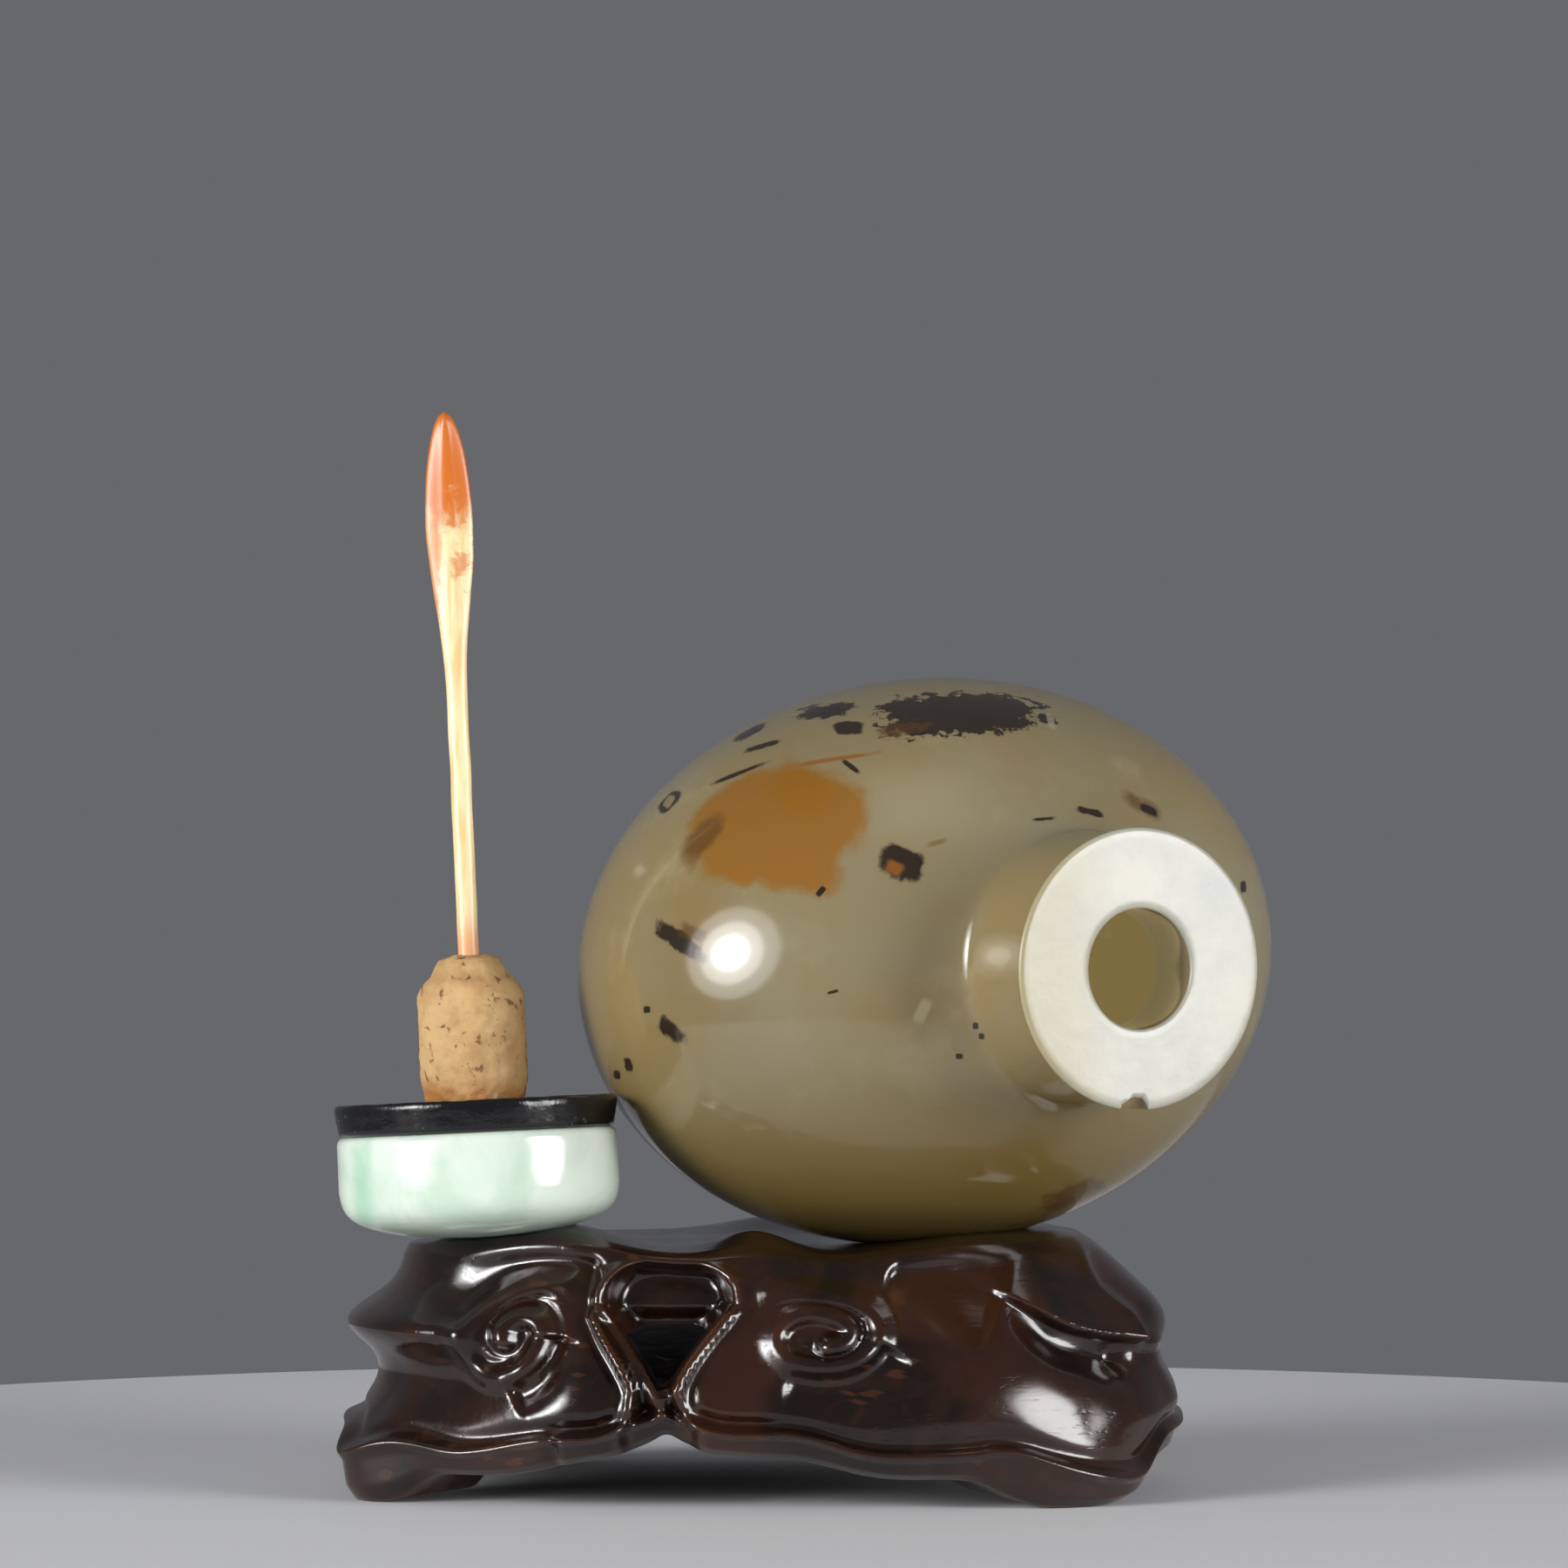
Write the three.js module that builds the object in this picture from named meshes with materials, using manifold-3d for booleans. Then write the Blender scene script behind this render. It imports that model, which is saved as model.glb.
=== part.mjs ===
// A hollowed agate snuff bottle lying on a carved hardwood stand, with its stopper and spoon
// standing upside down beside it. Millimetres, +Z up, the bottle's mouth looking along -Y.
import * as THREE from 'three';
import { mergeVertices } from 'three/addons/utils/BufferGeometryUtils.js';
import Module from 'manifold-3d';

const wasm = await Module();
wasm.setup();

const { degToRad, lerp, smoothstep } = THREE.MathUtils;

// ---------------------------------------------------------------- driving dimensions
const GAP = 0.3; // clearance between pieces that rest on one another

// The stand is turned under the bottle.
const STAND_TURN = degToRad(-30);

// Agate bottle: a flattened ovoid, lying on its broad side.
const BODY_HALF_WIDTH = 25.6;
const BODY_HALF_DEPTH = 20.0;
const BODY_HALF_LENGTH = 21.6;
const BOTTLE_CENTRE = new THREE.Vector3(10.1, 0, 37.1);
const BOTTLE_ROLL = degToRad(6.5);
const LIP_AT = 28.0;
const LIP_RADIUS = 9.6;
const LIP_BEVEL = 0.35;
const NECK_WAIST_AT = 23.6;
const NECK_WAIST_RADIUS = 9.2;
const NECK_FILLET = 1.9;
const FOOT_AT = -21.7;
const FOOT_HALF_WIDTH = 9.4;
const FOOT_HALF_DEPTH = 7.6;
const FOOT_RECESS = 0.5;
const MOUTH_RADIUS = 4.1;
const MOUTH_LENGTH = 4.5;
const WALL = 4.0;
const CHIP_SIZE = 1.25;
const CHIP_ANGLE = degToRad(261);

// Stopper, standing upside down: cap below, then collar, cork and spoon.
const STOPPER_AT = new THREE.Vector3(-21.0, -10.4, 18.1);
const STOPPER_LEAN = new THREE.Euler(degToRad(-2.4), degToRad(-2.7), 0);
const CAP_RADIUS = 9.75;
const CAP_HEIGHT = 7.35;
const COLLAR_RADIUS = 9.85;
const COLLAR_TAPER = 0.25;
const COLLAR_HEIGHT = 2.1;
const CORK_RADIUS = 3.75;
const CORK_HEIGHT = 9.9;
const CORK_CHAMFER = 2.1;
const CORK_HOLE_DEPTH = 3.0;
const SPOON_LENGTH = 37.9;
const SPOON_STEM_WIDTH = 1.45;
const SPOON_BLADE_WIDTH = 3.3;
const SPOON_BLADE_AT = 30.0;
const SPOON_THICKNESS = 1.15;

// Carved stand: a low table with curved aprons, hollow below, on four small feet.
const TOP = { left: -26.4, right: 20.8, front: -16.5, back: 16.0, height: 17.5 };
const FLARE = { left: 4.3, right: 6.4, front: 4.2, back: 4.0 };
const HOLLOW = { left: -23.5, right: 19.5, front: -12.8, back: 13.0, ceiling: 13.2, taper: 1.6 };
const PLAN_ROUNDNESS = 0.78;
const FEET = [
  { x: -29.6, y: -12.5, spread: 2.6 },
  { x: 22.2, y: -17.0, spread: 4.0 },
  { x: -24.4, y: 15.4, spread: 5.0 },
  { x: 21.0, y: 15.4, spread: 4.8 },
];
const APRON_REST = 2.45; // height of the apron's lower edge between the feet
const BOARD = 1.9; // height of the plain edge under the carved face
const LOOP = { x: -7.9, low: 7.4, wide: 14.0, high: 17.3, halfWidth: 5.0, depth: 3.0 };
const SCROLLS = [
  { x: -17.8, z: 12.4, radius: 3.6, turns: 1.6, start: 200, rise: 0.5 },
  { x: 3.0, z: 12.3, radius: 3.3, turns: 1.5, start: 20, rise: 0.5 },
];
const BEAD = 0.55; // radius of the raised rolls
const BEAD_STEPS = 28;
const BEAD_SIDES = 3;
const EDGE_ROLL = 0.45;
const FOOT_SPLAY = 2.0;

// ---------------------------------------------------------------- small helpers
const bell = (distance, spread) => Math.exp(-0.5 * (distance / spread) ** 2);
const smoothMax = (a, b, k) => {
  const h = Math.max(k - Math.abs(a - b), 0) / k;
  return Math.max(a, b) + h * h * k * 0.25;
};

function signedVolume(position, index) {
  const [a, b, c] = [new THREE.Vector3(), new THREE.Vector3(), new THREE.Vector3()];
  let sum = 0;
  for (let i = 0; i < index.length; i += 3) {
    a.fromBufferAttribute(position, index[i]);
    b.fromBufferAttribute(position, index[i + 1]);
    c.fromBufferAttribute(position, index[i + 2]);
    sum += a.dot(b.cross(c));
  }
  return sum / 6;
}

// Only positions are kept, with shared corners joined, collapsed faces dropped and faces outward.
function closedMesh(geometry) {
  geometry.deleteAttribute('normal');
  geometry.deleteAttribute('uv');
  const merged = mergeVertices(geometry, 1e-4);
  const index = Array.from(merged.index.array);
  const kept = [];
  for (let i = 0; i < index.length; i += 3) {
    const [a, b, c] = index.slice(i, i + 3);
    if (a !== b && b !== c && c !== a) kept.push(a, b, c);
  }
  if (signedVolume(merged.attributes.position, kept) < 0) kept.reverse();
  merged.setIndex(kept);
  return merged;
}

function toSolid(geometry) {
  const merged = closedMesh(geometry);
  const mesh = new wasm.Mesh({
    numProp: 3,
    vertProperties: new Float32Array(merged.attributes.position.array),
    triVerts: new Uint32Array(merged.index.array),
  });
  return new wasm.Manifold(mesh);
}

function toGeometry(solid) {
  const mesh = solid.getMesh();
  const geometry = new THREE.BufferGeometry();
  geometry.setAttribute('position', new THREE.BufferAttribute(mesh.vertProperties, 3));
  geometry.setIndex(new THREE.BufferAttribute(mesh.triVerts, 1));
  geometry.computeVertexNormals();
  return geometry;
}

// A lathe surface closed at both poles, whose points are moved to place(row, angle).
function shapedLathe(rows, columns, place) {
  const profile = [];
  for (let row = 0; row < rows; row++) {
    profile.push(new THREE.Vector2(Math.sin(Math.PI * row / (rows - 1)), row));
  }
  const geometry = new THREE.LatheGeometry(profile, columns);
  const position = geometry.attributes.position;
  for (let column = 0; column <= columns; column++) {
    const angle = -2 * Math.PI * (column % columns) / columns;
    for (let row = 0; row < rows; row++) {
      const p = place(row, angle);
      position.setXYZ(column * rows + row, p.x, p.y, p.z);
    }
  }
  return geometry;
}

function bead(curve, steps, radius, sides) {
  const section = new THREE.Shape();
  section.absarc(0, 0, radius, 0, 2 * Math.PI);
  return new THREE.ExtrudeGeometry(section, { steps, extrudePath: curve, curveSegments: sides });
}

// ---------------------------------------------------------------- agate bottle
// Along the bottle's own axis the foot is at negative n and the mouth at positive n.
const BOTTLE_COLUMNS = 32;
const ovoid = (n, half, length) => half * Math.sqrt(Math.max(0, 1 - (n / length) ** 2));
const neckRadius = (n) => {
  const t = (n - NECK_WAIST_AT) / (LIP_AT - NECK_WAIST_AT);
  return NECK_WAIST_RADIUS + (LIP_RADIUS - NECK_WAIST_RADIUS) * t * t;
};

function outerRadii(n) {
  const width = ovoid(n, BODY_HALF_WIDTH, BODY_HALF_LENGTH);
  const depth = ovoid(n, BODY_HALF_DEPTH, BODY_HALF_LENGTH);
  if (n > 0) {
    const neck = neckRadius(Math.max(n, NECK_WAIST_AT - 2.5));
    return [smoothMax(width, neck, NECK_FILLET * 2), smoothMax(depth, neck, NECK_FILLET * 2)];
  }
  return [smoothMax(width, FOOT_HALF_WIDTH, 1), smoothMax(depth, FOOT_HALF_DEPTH, 1)];
}

function bottleProfile() {
  const points = [];
  const add = (n, width, depth = width) => points.push({ n, width, depth });
  // foot: a shallow recess inside an oval rim
  add(FOOT_AT + FOOT_RECESS, 0);
  add(FOOT_AT + FOOT_RECESS, FOOT_HALF_WIDTH * 0.66, FOOT_HALF_DEPTH * 0.62);
  add(FOOT_AT, FOOT_HALF_WIDTH * 0.78, FOOT_HALF_DEPTH * 0.74);
  add(FOOT_AT, FOOT_HALF_WIDTH * 0.94, FOOT_HALF_DEPTH * 0.93);
  // outer body, closer rows where the foot and the neck grow out of it
  const lowRows = 3;
  const footBlend = FOOT_AT + 2.7;
  for (let i = 0; i <= lowRows; i++) {
    const n = lerp(FOOT_AT + 0.5, footBlend, i / lowRows);
    add(n, ...outerRadii(n));
  }
  const bodyRows = 11;
  const shoulder = 16.4;
  const swingFrom = Math.asin(footBlend / BODY_HALF_LENGTH);
  const swingTo = Math.asin(shoulder / BODY_HALF_LENGTH);
  for (let i = 1; i <= bodyRows; i++) {
    const swing = lerp(swingFrom, swingTo, i / bodyRows);
    const n = BODY_HALF_LENGTH * Math.sin(swing);
    add(n, ...outerRadii(n));
  }
  const neckRows = 7;
  for (let i = 1; i <= neckRows; i++) {
    const n = lerp(shoulder, LIP_AT - LIP_BEVEL, (i / neckRows) ** 0.8);
    add(n, ...outerRadii(n));
  }
  // flat lip and straight mouth
  add(LIP_AT, LIP_RADIUS - LIP_BEVEL);
  add(LIP_AT, (LIP_RADIUS + MOUTH_RADIUS) / 2);
  add(LIP_AT, MOUTH_RADIUS + 0.12);
  add(LIP_AT - 0.15, MOUTH_RADIUS);
  add(LIP_AT - MOUTH_LENGTH, MOUTH_RADIUS);
  // hollow inside
  const innerLength = BODY_HALF_LENGTH - WALL;
  const innerRows = 8;
  const top = 0.86;
  for (let i = 0; i <= innerRows; i++) {
    const swing = lerp(Math.asin(top), -Math.PI / 2, i / innerRows);
    const n = innerLength * Math.sin(swing);
    const share = Math.cos(swing);
    add(n, (BODY_HALF_WIDTH - WALL) * share, (BODY_HALF_DEPTH - WALL) * share);
  }
  points[points.length - 1].width = 0;
  points[points.length - 1].depth = 0;
  return points;
}

function bottleGeometry() {
  const profile = bottleProfile();
  const solid = toSolid(shapedLathe(profile.length, BOTTLE_COLUMNS, (row, angle) => {
    const { n, width, depth } = profile[row];
    return new THREE.Vector3(width * Math.cos(angle), -n, depth * Math.sin(angle));
  }));
  // one small chip broken from the edge of the lip
  const chip = new THREE.DodecahedronGeometry(CHIP_SIZE, 0);
  chip.rotateX(0.5);
  chip.scale(1, 0.75, 0.9);
  chip.translate(LIP_RADIUS * Math.cos(CHIP_ANGLE), -LIP_AT, LIP_RADIUS * Math.sin(CHIP_ANGLE));
  return toGeometry(solid.subtract(toSolid(chip)));
}

function placeBottle(object) {
  object.position.copy(BOTTLE_CENTRE);
  object.rotation.set(0, -BOTTLE_ROLL, -STAND_TURN, 'ZYX');
}

// ---------------------------------------------------------------- stopper and spoon
const STOPPER_SEGMENTS = 30;
const CORK_SEGMENTS = 16;
const SPOON_SEGMENTS = 10;
const SPOON_ROWS = 18;
const CAP_PROFILE = [
  [0, 0], [3.0, 0.1], [5.3, 0.35], [7.3, 0.8], [8.5, 1.3], [9.25, 1.9], [9.6, 2.6], [9.75, 3.5],
];

function capGeometry(grow = 0) {
  const points = CAP_PROFILE.map(([r, z]) => new THREE.Vector2(r === 0 ? 0 : r + grow, z - grow));
  points.push(new THREE.Vector2(CAP_RADIUS + grow, CAP_HEIGHT - 0.5 + grow));
  points.push(new THREE.Vector2(CAP_RADIUS - 0.2 + grow, CAP_HEIGHT - 0.1 + grow));
  points.push(new THREE.Vector2(CAP_RADIUS - 0.6 + grow, CAP_HEIGHT + grow));
  points.push(new THREE.Vector2(0, CAP_HEIGHT + grow));
  return new THREE.LatheGeometry(points, STOPPER_SEGMENTS).rotateX(Math.PI / 2);
}

function collarGeometry() {
  const base = CAP_HEIGHT + GAP / 2;
  const top = base + COLLAR_HEIGHT;
  const points = [
    new THREE.Vector2(0, base),
    new THREE.Vector2(COLLAR_RADIUS - COLLAR_TAPER - 0.25, base),
    new THREE.Vector2(COLLAR_RADIUS - COLLAR_TAPER, base + 0.3),
    new THREE.Vector2(COLLAR_RADIUS - 0.1, top - 0.35),
    new THREE.Vector2(COLLAR_RADIUS, top - 0.15),
    new THREE.Vector2(COLLAR_RADIUS - 0.15, top),
    new THREE.Vector2(0, top),
  ];
  return new THREE.LatheGeometry(points, STOPPER_SEGMENTS).rotateX(Math.PI / 2);
}

const CORK_BASE = CAP_HEIGHT + COLLAR_HEIGHT + GAP;
const CORK_TOP = CORK_BASE + CORK_HEIGHT;

function corkGeometry() {
  const hole = SPOON_STEM_WIDTH / 2 + GAP;
  const points = [
    new THREE.Vector2(0, CORK_BASE),
    new THREE.Vector2(CORK_RADIUS - 0.35, CORK_BASE),
    new THREE.Vector2(CORK_RADIUS - 0.05, CORK_BASE + 0.7),
    new THREE.Vector2(CORK_RADIUS, CORK_BASE + 2),
    new THREE.Vector2(CORK_RADIUS - 0.05, CORK_TOP - CORK_CHAMFER - 0.4),
    new THREE.Vector2(CORK_RADIUS - 0.45, CORK_TOP - CORK_CHAMFER * 0.62),
    new THREE.Vector2(CORK_RADIUS - 1.3, CORK_TOP - CORK_CHAMFER * 0.22),
    new THREE.Vector2(CORK_RADIUS - 2.1, CORK_TOP),
    new THREE.Vector2(hole, CORK_TOP),
    new THREE.Vector2(hole, CORK_TOP - CORK_HOLE_DEPTH),
    new THREE.Vector2(0, CORK_TOP - CORK_HOLE_DEPTH),
  ];
  return new THREE.LatheGeometry(points, CORK_SEGMENTS).rotateX(Math.PI / 2);
}

function spoonWidth(s) {
  const blade = smoothstep(s, 16, SPOON_BLADE_AT);
  const width = lerp(SPOON_STEM_WIDTH, SPOON_BLADE_WIDTH, blade * blade * (1.6 - 0.6 * blade));
  const left = Math.max(0, (s - SPOON_BLADE_AT) / (SPOON_LENGTH - SPOON_BLADE_AT));
  return width * Math.sqrt(Math.max(0, 1 - left ** 1.9));
}

function spoonGeometry() {
  const sunk = CORK_HOLE_DEPTH - 0.7;
  const rows = SPOON_ROWS;
  return shapedLathe(rows, SPOON_SEGMENTS, (row, angle) => {
    const along = Math.min(Math.max(row - 1, 0), rows - 3) / (rows - 3);
    const s = lerp(-sunk, SPOON_LENGTH, along ** 0.92);
    const closed = row === 0 || row === rows - 1;
    const width = closed ? 0 : Math.max(spoonWidth(Math.max(s, 0)), 0.3);
    const thickness = closed ? 0 : Math.min(width, lerp(SPOON_THICKNESS, 0.75, along));
    const ridge = 1 + 0.25 * Math.max(0, Math.cos(angle + Math.PI / 2)) ** 4;
    return new THREE.Vector3(
      width / 2 * Math.cos(angle),
      thickness / 2 * Math.sin(angle) * ridge,
      CORK_TOP + s,
    );
  });
}

// ---------------------------------------------------------------- carved stand
// v runs from 0 at the rim of the top to 1 at the crease over the plain lower edge.
function planPoint(angle, box) {
  const c = Math.cos(angle);
  const s = Math.sin(angle);
  const x = (box.left + box.right) / 2 + (box.right - box.left) / 2 * Math.sign(c) * Math.abs(c) ** PLAN_ROUNDNESS;
  const y = (box.front + box.back) / 2 + (box.back - box.front) / 2 * Math.sign(s) * Math.abs(s) ** PLAN_ROUNDNESS;
  return new THREE.Vector2(x, y);
}

const widened = (box, flare, share) => ({
  left: box.left - flare.left * share,
  right: box.right + flare.right * share,
  front: box.front - flare.front * share,
  back: box.back + flare.back * share,
});

function topHeight(x, y) {
  const stopperMound = 1.55 * bell(x + 15.2, 3.8) * bell(y + 9.5, 7);
  const leftTable = 0.75 * bell(x + 22, 5) * bell(y + 8, 10);
  const nearMound = 1.45 * bell(x + 2.2, 2.3) * bell(y + 10.5, 3.6);
  const farRidge = 1.1 * bell(x + 0.5, 3.4) * bell(y - 13, 4);
  const rightTable = 1.05 * smoothstep(x, 3, 14);
  return TOP.height - 0.35 + stopperMound + leftTable + nearMound + farRidge + rightTable;
}

function lowerEdge(x, y) {
  const front = y < 0 ? 1 : 0.35;
  let z = APRON_REST + 1.3 * bell(x + 4, 8.5) * front + 1.5 * bell(x - LOOP.x + 0.4, 1.3) * front;
  z += 0.7 * bell(y, 6);
  for (const foot of FEET) {
    z -= 3.4 * bell(Math.hypot(x - foot.x, y - foot.y), foot.spread);
  }
  return Math.max(0, z);
}

const creaseHeight = (x, y) => {
  const low = lowerEdge(x, y);
  return low + BOARD + 0.5 * bell(x - LOOP.x, 1.6) + 1.3 * bell(Math.hypot(x + 28.5, y + 12), 3.5);
};

// Half width of the pointed loop between the two front lobes, at height z.
function loopHalfWidth(z) {
  if (z > LOOP.wide) {
    const t = (z - LOOP.wide) / (LOOP.high - LOOP.wide);
    return LOOP.halfWidth * Math.sqrt(Math.max(0, 1 - t * t));
  }
  const t = (z - LOOP.low) / (LOOP.wide - LOOP.low);
  return LOOP.halfWidth * Math.max(0, t) ** 1.15;
}

// How far the carving stands out of (or into) the apron, at x, z on the face with y's sign.
function carving(x, y, z) {
  let out = 0;
  const front = smoothstep(-y, 2, 9);
  const left = smoothstep(-x, 17, 25);
  // swelling lobes and the valley between them
  out += front * (1.3 * bell(x - 14, 5.5) * bell(z - 8, 3.4) + 0.8 * bell(x + 15, 4.5) * bell(z - 7, 2.6));
  out -= front * 2.0 * bell(x - LOOP.x + 0.3, 1.5) * bell(z - 5.5, 2.6);
  // recess inside the loop
  const inside = loopHalfWidth(z) - Math.abs(x - LOOP.x);
  if (z > LOOP.low && z < LOOP.high) out -= front * LOOP.depth * smoothstep(inside, -0.2, 1.4);
  // raised scroll discs
  for (const scroll of SCROLLS) {
    const reach = Math.hypot(x - scroll.x, z - scroll.z);
    out += front * scroll.rise * smoothstep(scroll.radius + 1.0 - reach, 0, 1.4);
  }
  // overhanging leaf on the right shoulder, with the hollow under it
  const leafLine = lerp(14.4, 11.2, (x - 15) / 9);
  const leaf = front * smoothstep(x, 12.5, 17.5);
  const leafRight = 20.7 + 3.4 * Math.max(0, (18 - z) / 6.5) ** 1.3;
  const shadow = smoothstep(leafRight + 1 - x, 0, 1.5);
  out += leaf * shadow * (1.1 * bell(z - leafLine - 1.0, 1.1) - 1.2 * bell(z - leafLine + 1.5, 1.4));
  out -= leaf * 1.2 * bell(x - leafRight - 1.5, 1.0) * smoothstep(z, 10, 12.5);
  // spur and hollow on the left end
  out += left * (2.4 * bell(z - 12, 1.25) - 1.2 * bell(z - 8, 1.8) + 0.9 * bell(z - 2.6, 1.6));
  // shallow rolls along the back and the right end
  const back = smoothstep(y, 4, 10);
  out += back * (0.8 * bell(x + 15, 6) + 0.8 * bell(x - 9, 6)) * bell(z - 9, 3.5);
  const right = smoothstep(x, 20, 24);
  out += right * (0.7 * bell(z - 12.6, 1.3) + 0.6 * bell(z - 6.2, 1.5) - 0.5 * bell(z - 9.6, 1.0));
  return out;
}

function apronPoint(angle, v) {
  const turn = Math.cos(angle);
  const power = 1.7 + 1.5 * smoothstep(turn, 0.5, 1) - 0.5 * smoothstep(-turn, 0.6, 1);
  const share = 1 - (1 - v) ** power;
  const box = widened(TOP, FLARE, share);
  const at = planPoint(angle, box);
  const next = planPoint(angle + 1e-3, box);
  const outward = new THREE.Vector2(next.y - at.y, at.x - next.x).normalize();
  const z = lerp(topHeight(at.x, at.y) - 0.3, creaseHeight(at.x, at.y), v);
  let out = carving(at.x, at.y, z) * smoothstep(v, 0, 0.12);
  // a thin raised roll over the plain edge, and feet that splay outwards
  out += EDGE_ROLL * (bell(v - 1, 0.04) - 0.9 * bell(v - 0.9, 0.05));
  for (const foot of FEET) {
    out += FOOT_SPLAY * bell(Math.hypot(at.x - foot.x, at.y - foot.y), foot.spread) * v ** 4;
  }
  return new THREE.Vector3(at.x + outward.x * out, at.y + outward.y * out, z);
}

const TOP_ROWS = [0, 0.3, 0.55, 0.78, 0.93];
const APRON_ROWS = [0, 0.07, 0.15, 0.24, 0.33, 0.42, 0.51, 0.6, 0.69, 0.78, 0.87, 0.95, 1];
const HOLLOW_ROWS = [0.04, 0.5, 0.9, 1];
const CEILING_ROWS = [0.8, 0.4, 0];

function standRows() {
  const rows = [];
  for (const share of TOP_ROWS) {
    rows.push((angle) => {
      const rim = planPoint(angle, TOP);
      const x = lerp(-3, rim.x, share);
      const y = rim.y * share;
      return new THREE.Vector3(x, y, topHeight(x, y));
    });
  }
  for (const v of APRON_ROWS) rows.push((angle) => apronPoint(angle, v));
  // plain edge under the crease, set back a little, then the flat underside
  const board = [[0.65, 0.8], [0.8, 0.3], [1.5, 0]];
  for (const [inset, share] of board) {
    rows.push((angle) => {
      const crease = apronPoint(angle, 1);
      const low = lowerEdge(crease.x, crease.y);
      const hollow = planPoint(angle, HOLLOW);
      const span = Math.hypot(crease.x - hollow.x, crease.y - hollow.y);
      return new THREE.Vector3(
        lerp(crease.x, hollow.x, inset / span),
        lerp(crease.y, hollow.y, inset / span),
        lerp(low, crease.z, share),
      );
    });
  }
  for (const rise of HOLLOW_ROWS) {
    rows.push((angle) => {
      const crease = apronPoint(angle, 1);
      const low = lowerEdge(crease.x, crease.y);
      const at = planPoint(angle, widened(HOLLOW, { left: 1, right: 1, front: 1, back: 1 }, (0.9 - rise) * HOLLOW.taper));
      return new THREE.Vector3(at.x, at.y, lerp(low, HOLLOW.ceiling, Math.max(0, rise - 0.04)));
    });
  }
  for (const share of CEILING_ROWS) {
    rows.push((angle) => {
      const at = planPoint(angle, HOLLOW);
      return new THREE.Vector3(lerp(-2, at.x, share), at.y * share, HOLLOW.ceiling);
    });
  }
  return rows;
}

// Nearest carved surface in front of the point x, z.
function faceY(x, z) {
  let best = 0;
  let nearest = Infinity;
  for (let i = 0; i <= 120; i++) {
    const angle = lerp(1.05, 1.95, i / 120) * Math.PI;
    for (let v = 0.04; v <= 1; v += 0.04) {
      const p = apronPoint(angle, v);
      const miss = Math.hypot(p.x - x, p.z - z);
      if (miss < nearest) {
        nearest = miss;
        best = p.y;
      }
    }
  }
  return best;
}

const onFace = (x, z, lift) => new THREE.Vector3(x, faceY(x, z) - lift, z);

function scrollCurve({ x, z, radius, turns, start }) {
  const points = [];
  const steps = 18;
  for (let i = 0; i <= steps; i++) {
    const share = i / steps;
    const angle = degToRad(start) - share * turns * 2 * Math.PI;
    const reach = radius * (1 - share) ** 0.8 + 0.55;
    points.push(onFace(x + reach * Math.cos(angle), z + reach * Math.sin(angle), 0.1));
  }
  return new THREE.CatmullRomCurve3(points);
}

function loopCurve() {
  const points = [onFace(LOOP.x - 5.4, 5.2, 0.05), onFace(LOOP.x - 2.6, 5.7, 0.05)];
  const steps = 12;
  for (let i = 0; i <= steps; i++) {
    const side = lerp(-1, 1, i / steps);
    const climb = Math.cos(side * Math.PI / 2) ** 0.8;
    const z = lerp(LOOP.low + 0.6, LOOP.high - 0.15, climb);
    const x = LOOP.x + Math.sign(side) * (loopHalfWidth(z) + 0.4);
    points.push(onFace(Math.abs(side) < 0.01 ? LOOP.x : x, z, 0.05));
  }
  points.push(onFace(LOOP.x + 2.0, 5.9, 0.05), onFace(LOOP.x + 4.6, 5.2, 0.05));
  return new THREE.CatmullRomCurve3(points);
}

function standGeometry() {
  const rows = standRows();
  const columns = 66;
  const crowd = 0.34; // draws the columns towards the front
  let solid = toSolid(shapedLathe(rows.length, columns, (row, turn) => {
    const angle = turn - crowd * Math.cos(turn);
    return rows[row](angle);
  }));
  for (const scroll of SCROLLS) solid = solid.add(toSolid(bead(scrollCurve(scroll), BEAD_STEPS, BEAD, BEAD_SIDES)));
  solid = solid.add(toSolid(bead(loopCurve(), BEAD_STEPS, BEAD * 0.9, BEAD_SIDES)));
  // three-cornered opening pierced through the back of the loop
  const pierced = new THREE.Shape();
  pierced.moveTo(LOOP.x - 3.0, 12.4);
  pierced.lineTo(LOOP.x - 0.4, LOOP.low + 0.9);
  pierced.lineTo(LOOP.x + 2.9, 12.4);
  const cutter = new THREE.ExtrudeGeometry(pierced, { depth: 12, bevelEnabled: false });
  cutter.rotateX(Math.PI / 2);
  cutter.translate(0, TOP.front + 5, 0);
  solid = solid.subtract(toSolid(cutter));
  // seats worn to the bottle and to the cap that lie on the stand
  const seat = new THREE.Mesh(new THREE.SphereGeometry(1, 22, 24));
  seat.geometry.rotateX(Math.PI / 2);
  seat.geometry.scale(BODY_HALF_WIDTH + GAP, BODY_HALF_LENGTH + GAP, BODY_HALF_DEPTH + GAP);
  placeBottle(seat);
  seat.updateMatrix();
  solid = solid.subtract(toSolid(seat.geometry.applyMatrix4(seat.matrix)));
  const capSeat = new THREE.Mesh(capGeometry(GAP));
  capSeat.position.copy(STOPPER_AT);
  capSeat.rotation.copy(STOPPER_LEAN);
  capSeat.updateMatrix();
  solid = solid.subtract(toSolid(capSeat.geometry.applyMatrix4(capSeat.matrix)));
  return toGeometry(solid);
}

// ---------------------------------------------------------------- the whole
const finish = (color, roughness) => new THREE.MeshStandardMaterial({ color, roughness, metalness: 0 });

function piece(name, geometry, material) {
  const mesh = new THREE.Mesh(geometry, material);
  mesh.name = name;
  return mesh;
}

const bottle = piece('agate_bottle', bottleGeometry(), finish(0x9a8f66, 0.12));
placeBottle(bottle);

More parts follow.
